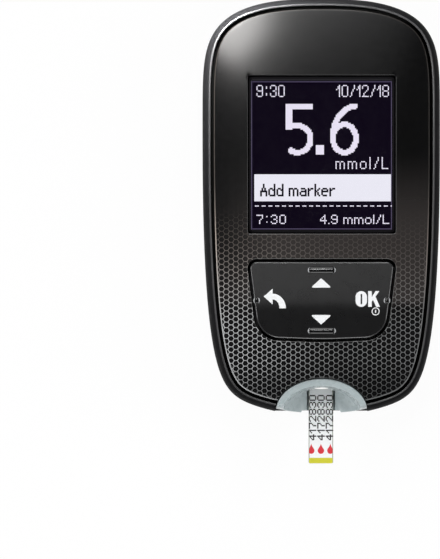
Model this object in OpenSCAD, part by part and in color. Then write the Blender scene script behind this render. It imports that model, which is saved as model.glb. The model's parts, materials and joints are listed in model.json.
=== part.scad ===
// Blood glucose meter with a test strip in its port.
// It lies on its back: +Z is the display side, +Y its top end and z = 0 its flat back.

/* [Housing] */
// Width of the housing
body_w = 46; // [44:0.5:52]
// Length of the housing, from its top end to its chin
body_l = 80.8; // [80:0.4:90]
// Height at which the rear and front covers meet
split_z = 10.5; // [10.4:0.1:11.4]
// Side wall of both covers
wall_t = 1.7; // [1.5:0.1:2]
// Floor of the rear cover
floor_t = 1.7; // [1.5:0.1:2.2]
// How far the back rolls in from the side before it is flat
back_roll = 8.5; // [6:0.5:9]
// How far in from the side the crest of the front rim lies
rim_in = 1.35; // [1:0.05:1.5]
// Width of the groove between the rim and the face plate
groove_w = 0.6; // [0.4:0.05:0.8]
// Height of the tongue where the covers plug together
tongue_h = 0.7; // [0.5:0.1:0.8]

/* [Face] */
// Thickness of the face plate at its edge
plate_t = 1.55; // [1.3:0.05:1.8]
// How much higher the face is at its middle
crown_h = 0.95; // [0.3:0.05:1.4]
// Distance from the top end to the display window
window_top = 15; // [14:0.5:16]
// Width of the display window
window_w = 28.5; // [26:0.5:29]
// Distance from the display window to the key pad
window_gap = 5.35; // [5:0.05:6]
// Thickness of the window pane
pane_t = 1.4; // [1:0.1:1.5]
// Shoulder in the front cover that the pane rests on
pane_ledge = 0.6; // [0.5:0.1:1]

/* [Key pad] */
// Distance from the chin to the key pad
pad_foot = 14.9; // [14.5:0.05:15.5]
// Width of the key pad along its top
pad_w = 27.65; // [26:0.05:28.5]
// Height of the key pad
pad_h = 15.05; // [14:0.05:15.5]
// Slant of the key pad's sides, in degrees
pad_slant = 6.3; // [2:0.1:8]
// Gap round the key pad
pad_gap = 0.45; // [0.3:0.05:0.6]
// Up or down tilt of the key pad, in degrees
pad_pitch = 3; // [2:0.5:4]
// Left or right tilt of the key pad, in degrees
pad_rock = 1.8; // [1:0.2:2.4]

/* [Strip and port] */
// Width of the test strip
strip_w = 4.75; // [4:0.25:6]
// Thickness of the test strip
strip_t = 0.45; // [0.3:0.05:0.5]
// Length of strip that stands out of the housing
strip_out = 9.3; // [8:0.1:12]
// Length of strip inside the housing
strip_in = 16.6; // [16.2:0.1:17]
// Half width of the port bezel
port_a = 8.8; // [8:0.1:9.5]
// Depth of the port bezel's half oval
port_b = 6.3; // [5.8:0.1:6.5]
// How far the bezel stays back from the housing's outline
port_setback = 0.5; // [0.3:0.1:0.9]

/* [Ejector] */
// Distance from the side of the housing to the lever's pin
lever_in = 10.7; // [10.4:0.1:11]
// Short arm of the lever
lever_short = 4.5; // [4:0.1:4.8]
// Full swing of the lever, in degrees
lever_swing = 30; // [24:1:32]
// Thickness of the lever
lever_t = 1.2; // [1:0.1:1.4]
// Length of the side button
button_l = 9; // [7:0.5:10]
// Height of the side button
button_h = 3.7; // [3:0.1:3.8]

/* [Battery bay] */
// Diameter of a coin cell
cell_d = 20; // [19.6:0.1:20]
// Thickness of a coin cell
cell_h = 3.2; // [2.5:0.1:3.3]
// Distance from the top end to the upper cell's centre
cell_top = 23.5; // [23:0.1:24]
// Distance between the two cells' centres
cell_pitch = 21.5; // [21:0.1:22]
// Room round a cell
cell_gap = 0.4; // [0.3:0.05:0.5]
// Thickness of the battery door
door_t = 1.4; // [1.2:0.1:1.6]
// How far the battery door lies below the flat back
door_recess = 0.2; // [0.1:0.05:0.4]
// Width of the battery door
door_w = 23.6; // [23.2:0.1:24]
// Thickness of the roof over the cells
bay_roof = 0.8; // [0.6:0.1:1]

/* [Board] */
// Thickness of the main board
board_t = 1; // [0.8:0.1:1.2]
// Height of the strip connector under the board
connector_h = 3.4; // [3.2:0.1:3.8]
// Room between the board and the front cover's deck
display_h = 2.5; // [2.4:0.1:2.8]
// Thickness of the front cover's deck
deck_t = 1.5; // [1.3:0.1:1.7]
// Outer radius of the screw bosses
boss_r = 2.5; // [2.2:0.1:2.8]
// Radius of a cover screw's shank
screw_r = 0.8; // [0.6:0.05:0.9]

/* [Hidden] */

$fn = 48;
seat = 0.05;          // gap between pieces that are glued, soldered or screwed together
fit = 0.1;            // gap between rigid pieces that plug together
free = 0.25;          // gap round pieces that move
past = 1;             // how far a cut runs past the face it opens

// The outline is two halves of a superellipse that meet at the shoulder line.
// Below it a bow, the chin, is added to the bottom edge.
quarter = 20;         // points in each quarter of the outline
shoulder_l = 27;
upper_bulge = [2.592, 5.3];
lower_bulge = [10.874, 2.318];
chin = 6.41;
top_y = body_l / 2;
end_y = -body_l / 2;
shoulder_y = top_y - shoulder_l;

// Heights, from the back up
door_top = door_recess + door_t;
cell_z = door_top + 0.3;
leaf_h = 1;                                    // room over a cell for its contact
bay_z = cell_z + cell_h + leaf_h;
lever_z = bay_z + bay_roof + 0.4;
connector_z = lever_z + lever_t + 0.3;
connector_floor = 0.9;
connector_side = 2.2;                          // wall of the connector beside the strip
slot_z = connector_z + connector_floor;        // floor of the strip's slot
slot_gap = 0.2;
strip_z = slot_z + slot_gap;
slot_h = strip_t + 2 * slot_gap;
board_z = connector_z + connector_h;
board_top = board_z + board_t;
deck_under = board_top + display_h;
deck_z = deck_under + deck_t;
edge_z = deck_z + plate_t;
rim_z = edge_z - 0.15;
face_z = edge_z + crown_h;

// Insets from the outline
groove_in = rim_in + 0.25;
plate_in = groove_in + groove_w;
plate_bevel = 0.2;
tongue_in = wall_t / 2 + 0.05;
board_in = wall_t + 0.5;
roll_bulge = 0.45;                             // the smaller, the boxier the front's rolled edge

// Display
window_h = body_l - window_top - window_gap - pad_h - pad_foot;
window_y = top_y - window_top - window_h / 2;
window_round = 0.5;
view_w = window_w - 2 * pane_ledge;
view_h = window_h - 2 * pane_ledge;
glass_gap = 0.1;
frame_w = view_w + 2.4;
frame_h = view_h + 4;
frame_wall = 0.9;
tail_room = 1.7;                               // wall of the frame at the flex tail
backlight_z = board_top + 0.8;
backlight_t = deck_under - 0.35 - backlight_z;
glass_z = backlight_z + backlight_t + seat;
glass_t = 0.7;                                 // each of the panel's two sheets
glass_step = 1.5;                              // ledge of the lower sheet that the tail lies on
tail_t = 0.12;
tail_w = 14;
tail_fold = 0.2;                               // how far outside the view the tail folds down

// Key pad
pad_y = end_y + pad_foot + pad_h;              // its top edge
pad_mid = pad_y - pad_h / 2;
pad_corner = 1.35;
pad_chin_r = 4.6;
pad_belly = 0.25;                              // how far the bottom edge bows
pad_z = edge_z + crown_h * 0.8;                // crest of its top face
pad_crease = 1.2;                              // how far below its middle the crest runs
pip_h = 0.35;
pip_r = 0.65;
pip_w = 5.4;
pip_x = 12.2;
pip_y = 5.85;
pad_wall = 1.3;
pad_skin = 2;                                  // thickness of its top wall
pad_flange = 0.9;
pivot_room = 1.8;                              // depth of the socket for the pivot, below the pad's crest
pad_deck = 0.8;                                // thickness of the deck round the key pad
pad_side = 0.3;                                // room between the pad's skirt and the mat
flange_z = board_top + 1.65;
flange_t = 0.6;
mat_z = board_top + seat;
mat_t = 1.1;
bump_h = 0.85;
pivot_r = 1;
boss_h = 0.45;                                 // boss of the mat under the pivot
pivot_z = mat_z + mat_t + boss_h + fit + pivot_r;
dome_r = 1.7;
dome_h = 0.4;
mat_w = pad_w - 2 * (pad_wall + pad_side + (pad_h - pad_chin_r) * tan(pad_slant));
mat_h = pad_h - 2 * (pad_wall + pad_side + pad_belly);
key_x = mat_w / 2 - 2.2;
key_y = mat_h / 2 - 2;
key_spots = [[0, key_y], [0, -key_y], [key_x, 0], [-key_x, 0]];
plunger_r = 1.5;
plunger_z = mat_z + mat_t + bump_h + 0.45;

// Port
port_y = end_y + 1.05;                         // centre of its oval
port_z = slot_z - 4.4;                         // lowest point of its round belly
port_gap = 0.2;
board_gap = 0.9;                                // room between the bezel and the board
port_mouth = 3.65;                             // half width of the flat between its two lobes
port_step = 0.6;                               // how far that flat stays behind the lobes
scoop_y = port_y + 4.35;                       // inner wall of the scoop at strip height
channel_w = strip_w + 4 * slot_gap;            // channel in the scoop that the strip lies in
light_w = 3;
light_h = 1.2;
light_z = board_top - 0.1;
lamp_y = port_y + port_b + 1;
lamp_l = 2.6;

// Strip and ejector
strip_end = end_y + strip_in;
push_r = 0.8;
short_r = 0.9;
hub_r = 1.8;
pin_r = 0.75;
pin_foot = floor_t + 1.2;
lever_x = body_w / 2 - lever_in;
lever_y = strip_end + push_r + free - lever_x * sin(lever_swing / 2);
short_x = lever_x + lever_short * sin(lever_swing / 2);
short_y = lever_y + lever_short * cos(lever_swing / 2);
button_y = short_y + 0.8;
button_z = lever_z + lever_t / 2 - 0.35;       // middle of the button
flange_x = short_x + short_r + free + 2.3;     // inner face of the button's flange
button_flange = 1;
button_lip = 0.8;                              // how far the flange reaches past the button
button_gap = 0.15;
spring_r = 0.9;
wire_r = 0.17;
spring_turns = 5.5;
spring_steps = 66;
spring_y = short_y + 3.6;
rib_x = lever_x - 0.5;                         // face of the rib that the spring stands on
rib_t = 1;
rib_w = 3.2;

// Battery bay
cell_up = top_y - cell_top;
cell_low = cell_up - cell_pitch;
bay_r = cell_d / 2 + cell_gap;
bay_wall = 1.2;
hinge_y = cell_up + bay_r + 1.3;
hinge_z = door_recess + door_t / 2;
hinge_r = 0.45;
hinge_l = 1.2;
hinge_clear = 0.05;
door_end = cell_low - bay_r - 4.6;
door_gap = 0.25;
door_corner = 6;
door_frame_w = 1.5;
door_frame_t = 1.2;
tab_w = 9;
tab_l = 3.6;
slit_w = 0.6;
leaf_x = 3.5;                                  // how far the contact leaves lie from the middle
leaf_w = 4;
leaf_t = 0.2;
leaf_spots = [cell_up + 6, cell_low - 6];
leaf_touch = cell_z + cell_h + 0.15;
leaf_roof = bay_z - 0.15;

// Board: each chip's place, width, length and height, and the buzzer
chips = [[-9, 2, 8, 8, 1], [7, 3, 5, 6, 0.9], [9, -9, 6.5, 7, 1.4], [-10, -10, 3.2, 1.5, 0.8],
    [-4, -9, 4, 4, 0.9]];
buzzer_r = 4.5;
buzzer_h = 2;
buzzer_lip = 0.3;

// Micro USB socket
usb_w = 7.5;
usb_h = 2.4;
usb_l = 5.2;
usb_in = 0.8;                                  // how far its mouth lies inside the top end
usb_fit = 0.3;
usb_wall = 0.25;
usb_z = board_top + seat + usb_h / 2;

// Screws
boss_spots = [[13.5, top_y - 7.8], [-13.5, top_y - 7.8], [13, end_y + 9], [-13, end_y + 9]];
boss_foot = 3.2;
head_z = 6;
head_r = 1.5;
head_h = 1.1;
screw_top = deck_under + 0.3;

plastic = [0.09, 0.09, 0.1];
gloss = [0.03, 0.03, 0.035];
grey = [0.62, 0.66, 0.67];
white = [0.93, 0.93, 0.92];
steel = [0.72, 0.73, 0.75];
gold = [0.83, 0.68, 0.35];

// ---- outlines ----

// A point of the outline's right side: k = 0 is the chin, 2 * quarter the top end
function side_point(k, s) =
    let (a = body_w / 2 - s, l = body_l - 2 * s, yc = shoulder_l - s, low = l - yc - chin)
    k <= quarter
    ? let (u = sin(90 * k / quarter))
      [a * u, shoulder_y - low * pow(1 - pow(u, lower_bulge[0]), 1 / lower_bulge[1]) - chin * (1 - u * u)]
    : let (v = sin(90 * (k - quarter) / quarter))
      [a * pow(1 - pow(v, upper_bulge[1]), 1 / upper_bulge[0]), shoulder_y + yc * v];

// The whole outline with its half axes made s smaller, counterclockwise from the chin
function outline(s = 0) =
    let (right = [for (k = [0:2 * quarter]) side_point(k, s)])
    concat(right, [for (k = [2 * quarter - 1:-1:1]) [-right[k].x, right[k].y]]);

function left_of(p, q) = let (d = q - p) [-d.y, d.x] / norm(d);

// A closed counterclockwise outline moved in by d
function inset(pts, d) =
    let (m = len(pts))
    d == 0 ? pts : [for (i = [0:m - 1])
        let (n1 = left_of(pts[(i + m - 1) % m], pts[i]), n2 = left_of(pts[i], pts[(i + 1) % m]))
        pts[i] + d * (n1 + n2) / (1 + n1 * n2)];

function at_z(pts, z) = [for (p = pts) [p.x, p.y, z]];

function arc(c, r, a0, a1, n) =
    [for (i = [0:n]) let (a = a0 + (a1 - a0) * i / n) c + r * [cos(a), sin(a)]];

function round_rect(w, h, r, n = 4) = concat(
    arc([w / 2 - r, -h / 2 + r], r, -90, 0, n), arc([w / 2 - r, h / 2 - r], r, 0, 90, n),
    arc([-w / 2 + r, h / 2 - r], r, 90, 180, n), arc([-w / 2 + r, -h / 2 + r], r, 180, 270, n));

function oval(a, b, y, n = 48) = [for (i = [0:n - 1]) [a * cos(360 * i / n), y + b * sin(360 * i / n)]];

function mirrored(pts) = [for (i = [len(pts) - 1:-1:0]) [-pts[i].x, pts[i].y]];

// The key pad's outline, moved in by d
function pad_outline(d) =
    let (low = pad_y - pad_h + pad_belly + pad_chin_r, fall = asin(4 * pad_belly / pad_w),
         side = pad_w / 2 - (pad_y - low) * tan(pad_slant),
         right = concat(
            arc([0, pad_y - pad_h + 0.5 * pad_w * pad_w / 16 / pad_belly],
                0.5 * pad_w * pad_w / 16 / pad_belly - d, -90, -90 + fall, 4),
            arc([side - pad_chin_r / cos(pad_slant), low], pad_chin_r - d, -90 + fall, -pad_slant, 8),
            arc([pad_w / 2 - pad_corner, pad_y - pad_corner], pad_corner - d, -pad_slant, 90, 5)))
    concat(right, mirrored([for (i = [1:len(right) - 1]) right[i]]));

// A flat strip of thickness t that follows a path, as a polygon
function ribbon(path, t) =
    let (m = len(path) - 1, side = [for (i = [0:m])
        let (n1 = left_of(path[max(i - 1, 0)], path[max(i, 1)]),
             n2 = left_of(path[min(i, m - 1)], path[min(i + 1, m)]))
        (n1 + n2) / (1 + n1 * n2) * t / 2])
    concat([for (i = [0:m]) path[i] + side[i]], [for (i = [m:-1:0]) path[i] - side[i]]);

// ---- building blocks ----

// A solid through rings of equal length, from the lowest ring's flat face to the last one's
module loft(rings) {
    m = len(rings[0]);
    top = (len(rings) - 1) * m;
    polyhedron(points = [for (r = rings) each r], faces = concat(
        [[for (i = [0:m - 1]) i]],
        [for (j = [0:len(rings) - 2]) for (i = [0:m - 1])
            [j * m + i, (j + 1) * m + i, (j + 1) * m + (i + 1) % m, j * m + (i + 1) % m]],
        [[for (i = [m - 1:-1:0]) top + i]]));
}

module prism(pts, z0, z1) {
    translate([0, 0, z0]) linear_extrude(z1 - z0) polygon(pts);
}

module block(x0, x1, y0, y1, z0, z1) {
    translate([x0, y0, z0]) cube([x1 - x0, y1 - y0, z1 - z0]);
}

module post(spot, r, z0, z1) {
    translate([spot.x, spot.y, z0]) cylinder(r = r, h = z1 - z0);
}

// A profile drawn in Y and Z, as wide as x0 to x1
module across(pts, x0, x1) {
    translate([x0, 0, 0]) rotate([90, 0, 90]) linear_extrude(x1 - x0) polygon(pts);
}

module place() {
    translate([0, strip_out / 2, 0]) children();
}

// ---- housing ----

// Side profile of the front: inset and height at an angle up the roll, taken at each of the steps
roll_steps = [0, 6, 18, 35, 50, 64, 77, 90];

function front_roll(t) = [rim_in * (1 - cos(t)), split_z + (rim_z - split_z) * pow(sin(t), roll_bulge)];

// Side profile of the back: how much smaller the outline is, and the height
function back_step(t) = [back_roll * (1 - cos(t)), split_z * (1 - pow(sin(t), 0.833))];

module front_form() {
    base = outline();
    tongue = inset(base, tongue_in);
    loft(concat(
        [at_z(tongue, split_z - tongue_h), at_z(tongue, split_z)],
        [for (t = roll_steps) at_z(inset(base, front_roll(t)[0]), front_roll(t)[1])],
        [at_z(inset(base, rim_in + 0.17), rim_z - 0.1), at_z(inset(base, groove_in), rim_z - 0.45),
         at_z(inset(base, groove_in), deck_z)]));
}

module front_cavity() {
    base = outline();
    loft([at_z(inset(base, wall_t), split_z - tongue_h - past), at_z(inset(base, wall_t), split_z + 1),
        at_z(inset(base, wall_t + 0.35), deck_under)]);
}

module rear_form() {
    loft([for (t = [90, 78, 67, 55, 42, 28, 14, 0]) at_z(outline(back_step(t)[0]), back_step(t)[1])]);
}

module rear_cavity() {
    rebate = split_z - tongue_h - fit;
    loft(concat(
        [for (t = [90, 67, 55, 42, 28, 14])
            at_z(outline(back_step(t)[0] + wall_t * cos(t)), back_step(t)[1] + floor_t * sin(t))],
        [at_z(inset(outline(), wall_t), rebate), at_z(inset(outline(), tongue_in - fit), rebate),
         at_z(inset(outline(), tongue_in - fit), split_z + past)]));
}

// Everything inside the housing's outer surface, moved in by d, for pieces that continue its shape
module envelope(d) {
    base = outline(d);
    loft(concat(
        [for (t = [55, 42, 28, 14]) at_z(outline(d + back_step(t)[0]), back_step(t)[1])],
        [for (t = roll_steps) at_z(inset(base, front_roll(t)[0]), front_roll(t)[1])]));
}

module front_cover() {
    color(plastic) place() difference() {
        union() {
            difference() {
                front_form();
                front_cavity();
            }
            for (s = boss_spots) post(s, boss_r, board_top + seat, deck_under + deck_t / 2);
        }
        translate([0, window_y, 0])
            prism(round_rect(view_w, view_h, window_round / 2), deck_under - past, deck_z + past);
        block(-tail_w / 2 - fit, tail_w / 2 + fit, window_y - view_h / 2 - 2 * tail_fold,
            window_y - view_h / 2 + past, deck_under - past, glass_z + glass_t + tail_fold + fit);
        prism(pad_outline(-pad_gap), deck_under - past, deck_z + past);
        prism(pad_outline(-pad_gap - pad_flange), deck_under - past, deck_z - pad_deck);
        port_block(port_gap);
        for (s = boss_spots) post(s, screw_r + seat, board_top - past, screw_top + 0.2);
        translate([0, top_y, usb_z]) rotate([90, 0, 0])
            linear_extrude(usb_in + usb_l) polygon(usb_outline(usb_fit));
    }
}

module bay_shape(r, z0, z1) {
    prism(concat(arc([0, cell_up], r, 0, 180, 16), arc([0, cell_low], r, 180, 360, 16)), z0, z1);
}

// The battery door's outline, moved out by d, with its hinge edge moved up by rise
function door_outline(d, rise = 0) =
    let (x = door_w / 2 + d, top = hinge_y + rise, y = door_end - d, r = door_corner)
    concat([[x, top], [-x, top]],
        arc([-x + r, y + r], r, 180, 270, 6), arc([x - r, y + r], r, 270, 360, 6));

module rear_cover() {
    color(plastic) place() difference() {
        union() {
            difference() {
                rear_form();
                rear_cavity();
            }
            prism(door_outline(door_frame_w, door_frame_w), floor_t / 2, door_top + fit + door_frame_t);
            bay_shape(bay_r + bay_wall, floor_t / 2, bay_z + bay_roof);
            for (s = boss_spots) post(s, boss_r, boss_foot, board_z - seat);
            post([lever_x, lever_y], hub_r + 0.3, floor_t / 2, lever_z - fit);
            block(rib_x - rib_t, rib_x, spring_y - rib_w / 2, spring_y + rib_w / 2,
                floor_t / 2, button_z + rib_w / 2);
            translate([rib_x, spring_y, button_z]) rotate([0, 90, 0])
                cylinder(r = spring_r - wire_r - fit, h = 1.2);
        }
        bay_shape(bay_r, -past, bay_z);
        prism(door_outline(door_gap), -past, door_top + fit);
        translate([0, hinge_y, hinge_z]) rotate([0, 90, 0])
            cylinder(r = door_t / 2 + fit + seat, h = door_w + 2 * door_gap, center = true);
        block(-door_w / 2 - door_gap, door_w / 2 + door_gap,
            hinge_y - door_t / 2, hinge_y + door_t / 2 + 2 * door_gap, -past, hinge_z);
        translate([0, hinge_y, hinge_z]) rotate([0, 90, 0])
            cylinder(r = hinge_r + hinge_clear, h = door_w + 2 * hinge_l + 4 * door_gap, center = true);
        thumb_dish();
        for (s = boss_spots) {
            post(s, head_r + fit, -past, head_z);
            post(s, screw_r + fit, 0, board_z + past);
        }
        post([lever_x, lever_y], pin_r + 0.02, pin_foot - 0.2, lever_z + past);
        block(flange_x - past, body_w,
            button_y - button_l / 2 - button_gap, button_y + button_l / 2 + button_gap,
            button_z - button_h / 2 - button_gap, button_z + button_h / 2 + button_gap);
        port_block(port_gap);
        for (y = leaf_spots)
            block(leaf_x - leaf_w / 2 - fit, leaf_x + leaf_w / 2 + fit, y - leaf_t - fit, y + leaf_t + fit,
                bay_z - past, bay_z + bay_roof + past);
    }
}

// Hollow for a fingertip at the end of the door
module thumb_dish() {
    translate([0, door_end, -8.6]) sphere(r = 9.6);
}

// ---- face ----

module face_plate() {
    edge = inset(outline(), plate_in);
    face = inset(outline(), plate_in + plate_bevel);
    mid = [0, (face[0].y + face[2 * quarter].y) / 2];
    color(gloss) place() difference() {
        loft(concat([at_z(edge, deck_z + seat), at_z(edge, edge_z - plate_bevel)],
            [for (f = [1, 0.9, 0.75, 0.55, 0.3, 0.05])
                at_z([for (p = face) mid + f * (p - mid)], edge_z + crown_h * (1 - pow(f, 3)))]));
        translate([0, window_y, 0])
            prism(round_rect(window_w, window_h, window_round), deck_z - past, face_z + past);
        prism(pad_outline(-pad_gap), deck_z - past, face_z + past);
        prism(oval(port_a + port_gap, port_b + port_gap, port_y), deck_z - past, face_z + past);
    }
}

module display_window() {
    w = window_w - 2 * fit;
    h = window_h - 2 * fit;
    rim = round_rect(w, h, window_round);
    top = round_rect(w - 1.1, h - 1.1, window_round / 2);
    color([0.08, 0.08, 0.1, 0.5]) place() translate([0, window_y, deck_z + seat])
        loft([at_z(rim, 0), at_z(rim, pane_t - 0.45), at_z(top, pane_t - seat)]);
}

// ---- display ----

module lcd_glass() {
    w = view_w - 2 * glass_gap;
    h = view_h - 2 * glass_gap;
    color([0.1, 0.09, 0.14]) place() translate([0, window_y, 0]) {
        block(-w / 2, w / 2, -h / 2, h / 2, glass_z, glass_z + glass_t);
        block(-w / 2, w / 2, -h / 2 + glass_step, h / 2, glass_z + glass_t, glass_z + 2 * glass_t);
    }
}

module lcd_backlight() {
    side = frame_wall + fit;
    color(white) place() translate([0, window_y, 0])
        block(-frame_w / 2 + side, frame_w / 2 - side, -frame_h / 2 + tail_room + fit, frame_h / 2 - side,
            backlight_z, backlight_z + backlight_t);
}

module lcd_frame() {
    x = frame_w / 2;
    y = frame_h / 2;
    lip = 1.5;
    color(white) place() translate([0, window_y, 0]) difference() {
        block(-x, x, -y, y, board_top + seat, deck_under - fit);
        block(-x + frame_wall, x - frame_wall, -y + tail_room, y - frame_wall,
            backlight_z - seat, deck_under);
        block(-tail_w / 2 - past, tail_w / 2 + past, -y - past, -y + tail_room + 0.3,
            deck_under - 0.4, deck_under);
        block(-x + frame_wall + lip, x - frame_wall - lip, -y + tail_room + lip, y - frame_wall - lip,
            board_top, deck_under);
    }
}

module lcd_flex() {
    over = [-view_h / 2, glass_z + glass_t + fit];
    out = [-frame_h / 2 - 0.9, deck_under - 0.2];
    foot = board_top + tail_t;
    path = [over + [glass_step, 0], over - [tail_fold, 0], [over.x - tail_fold, out.y], out + [0.4, 0],
        out - [0, 0.4], [out.x, foot + 0.4], [out.x + 0.4, foot], [out.x + 0.8, foot]];
    color([0.75, 0.45, 0.15]) place() translate([0, window_y, 0])
        across(ribbon(path, tail_t), -tail_w / 2, tail_w / 2);
}

// ---- key pad ----

// Height of the pad's top face at a distance along Y from its crest
function pad_rise(y) = pad_z - 0.06 * (sqrt(pow(y - pad_mid + pad_crease, 2) + 1) - 1);

function pad_ring(d, drop) = [for (p = pad_outline(d)) [p.x, p.y, pad_rise(p.y) - drop]];

module keypad() {
    skin = [[0, 0.3], [0.12, 0.1], [0.35, 0]];
    middle = [for (p = pad_outline(0)) [p.x / 2, (p.y + pad_mid) / 2]];
    color(plastic) place() difference() {
        union() {
            difference() {
                loft(concat([at_z(pad_outline(0), flange_z)], [for (k = skin) pad_ring(k[0], k[1])],
                    [[for (p = middle) [p.x, p.y, pad_rise(p.y)]]]));
                prism(pad_outline(pad_wall), flange_z - past, pad_z - pad_skin);
            }
            prism(pad_outline(-pad_flange + free), flange_z, flange_z + flange_t);
            for (s = key_spots) post([s.x, pad_mid + s.y], plunger_r, plunger_z, pad_z - pad_skin / 2);
            post([0, pad_mid], pivot_r + 1.7, pivot_z + 0.6, pad_z - pad_skin / 2);
            pips();
        }
        prism(pad_outline(pad_wall), flange_z - past, flange_z + flange_t + fit);
        post([0, pad_mid], pivot_r + 0.85, pivot_z - past, pad_z - pivot_room);
    }
}

// Raised marks for the fingertip: a bar above and below, a dot left and right
module pips() {
    for (y = [pad_mid - pip_y, pad_mid + pip_y])
        prism([for (p = round_rect(pip_w, 2 * pip_r, pip_r)) p + [0, y]], pad_z - 0.8, pad_rise(y) + pip_h);
    for (x = [-pip_x, pip_x])
        post([x, pad_mid], pip_r, pad_z - 0.8, pad_rise(pad_mid) + pip_h);
}

module pad_pivot() {
    color(white) place() translate([0, pad_mid, pivot_z]) {
        sphere(r = pivot_r);
        cylinder(r = pivot_r - 0.15, h = pad_z - pivot_room - fit - pivot_z);
    }
}

module key_mat() {
    color([0.75, 0.75, 0.72]) place() difference() {
        union() {
            translate([0, pad_mid, 0])
                prism(round_rect(mat_w, mat_h, pad_chin_r - pad_wall - pad_side), mat_z, mat_z + mat_t);
            for (s = key_spots) post([s.x, pad_mid + s.y], plunger_r + 0.1, mat_z, mat_z + mat_t + bump_h);
            post([0, pad_mid], 1.8, mat_z, mat_z + mat_t + boss_h);
        }
        for (s = key_spots) post([s.x, pad_mid + s.y], dome_r + fit, mat_z - past, mat_z + dome_h + fit);
    }
}

module dome_switches() {
    big = (dome_r * dome_r + dome_h * dome_h) / (2 * dome_h);
    arch = asin(dome_r / big);
    outer = [for (i = [0:5]) [big * sin(arch * i / 5), big * cos(arch * i / 5) + dome_h - big]];
    color(steel) place() for (s = key_spots) translate([s.x, pad_mid + s.y, board_top + seat])
        rotate_extrude() polygon(concat(outer,
            [for (i = [5:-1:0]) [outer[i].x * 0.97, max(0, outer[i].y - 0.1)]]));
}

// ---- board ----

module main_board() {
    color([0.05, 0.3, 0.16]) place() difference() {
        prism(inset(outline(), board_in), board_z, board_top);
        prism(oval(port_a + board_gap, port_b + board_gap, port_y), board_z - past, board_top + past);
        for (s = boss_spots) post(s, screw_r + fit, board_z - past, board_top + past);
        post([0, pad_mid], 0.6, board_z - past, board_top + past);
    }
}

module chip(x, y, w, l, h) {
    block(x - w / 2, x + w / 2, y - l / 2, y + l / 2, board_z - seat - h, board_z - seat);
}

module board_chips() {
    color([0.12, 0.12, 0.13]) place() {
        for (c = chips) chip(c[0], c[1], c[2], c[3], c[4]);
        for (i = [0:4]) chip(-8 + i * 1.6, -14.5, 0.8, 1.4, 0.5);
        block(-lamp_l / 2, lamp_l / 2, lamp_y, lamp_y + 1.4, board_top + seat, board_top + 0.9);
    }
}

module buzzer() {
    spot = [0, cell_up];
    top = board_z - seat;
    color([0.15, 0.15, 0.16]) place() difference() {
        union() {
            post(spot, buzzer_r, top - buzzer_h, top);
            post(spot, buzzer_r - 2 * buzzer_lip, top - buzzer_h - buzzer_lip, top - buzzer_h);
        }
        post(spot, 0.8, top - buzzer_h - past, top - buzzer_h + buzzer_lip);
    }
}

// ---- micro USB socket ----

function usb_outline(d) =
    [for (p = [[-0.5, 0.5], [-0.5, -0.05], [-0.36, -0.5], [0.36, -0.5], [0.5, -0.05], [0.5, 0.5]])
        [p.x * (usb_w + 2 * d), p.y * (usb_h + 2 * d)]];

module usb_socket() {
    color(steel) place() translate([0, top_y - usb_in, usb_z]) {
        difference() {
            rotate([90, 0, 0]) linear_extrude(usb_l) polygon(usb_outline(0));
            translate([0, past, 0]) rotate([90, 0, 0]) linear_extrude(usb_l) polygon(usb_outline(-usb_wall));
        }
        block(-1.8, 1.8, -usb_l + past - seat, -usb_in, 0.1, 0.7);
    }
}

// ---- port and strip ----

// The half oval that the bezel fills, with a round belly below the parting line, moved out by d
module port_block(d) {
    low = split_z - port_z;
    intersection() {
        prism(oval(port_a + d, port_b + d, port_y), port_z - past, rim_z + past);
        translate([0, port_y + port_b + past, 0]) rotate([90, 0, 0])
            linear_extrude(2 * port_b + 2 * past) polygon(concat(
                [for (t = [180:11.25:360]) [(port_a + d) * cos(t), split_z + (low + d) * sin(t)]],
                [[port_a + d, rim_z + past], [-port_a - d, rim_z + past]]));
    }
}

module port_bezel() {
    color(grey) place() difference() {
        intersection() {
            port_block(0);
            envelope(port_setback);
        }
        scoop();
        prism([[-port_mouth - port_step, end_y], [port_mouth + port_step, end_y],
            [port_mouth, end_y + port_setback + port_step], [-port_mouth, end_y + port_setback + port_step]],
            port_z, rim_z);
        block(-channel_w / 2, channel_w / 2, end_y - past, scoop_y, slot_z, light_z - 0.2);
        block(-strip_w / 2 - slot_gap, strip_w / 2 + slot_gap, end_y, port_y + port_b + past,
            slot_z, slot_z + slot_h);
        block(-light_w / 2 - seat, light_w / 2 + seat, scoop_y - past, port_y + port_b + past,
            light_z - seat, light_z + light_h + seat);
    }
}

// The funnel that guides the strip, as steps of [half width, depth, height over the slot's floor]
module scoop() {
    steps = [[2.9, 4.35, 1.6], [4.2, 4.37, 2.2], [5.5, 4.4, 3.2], [6.5, 4.5, 4.7], [7.1, 4.65, 6.2],
        [7.4, 4.8, 7.5], [7.5, 4.9, 10]];
    loft([for (s = steps) at_z(oval(s[0], s[1], port_y), slot_z + s[2])]);
}

module port_light() {
    color([0.95, 0.95, 0.9]) place()
        block(-light_w / 2, light_w / 2, scoop_y + 0.12, lamp_y - 0.2, light_z, light_z + light_h);
}

module test_strip() {
    color(white) place()
        block(-strip_w / 2, strip_w / 2, end_y - strip_out, strip_end, strip_z, strip_z + strip_t);
}

module strip_connector() {
    y0 = port_y + port_b + 0.15;
    y1 = strip_end - 0.9;
    x = strip_w / 2 + connector_side;
    color([0.1, 0.1, 0.1]) place() difference() {
        block(-x, x, y0, y1, connector_z, board_z - seat);
        block(-strip_w / 2 - slot_gap, strip_w / 2 + slot_gap, y0 - past, y1 + past, slot_z, slot_z + slot_h);
        block(-strip_w / 2 + fit, strip_w / 2 - fit, y0 + 1, y1 - 1, slot_z, board_z);
        block(-push_r - 0.4, push_r + 0.9, strip_end - 2 * lever_x * sin(lever_swing / 2), y1 + past,
            connector_z - past, slot_z + past / 2);
    }
}

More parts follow.
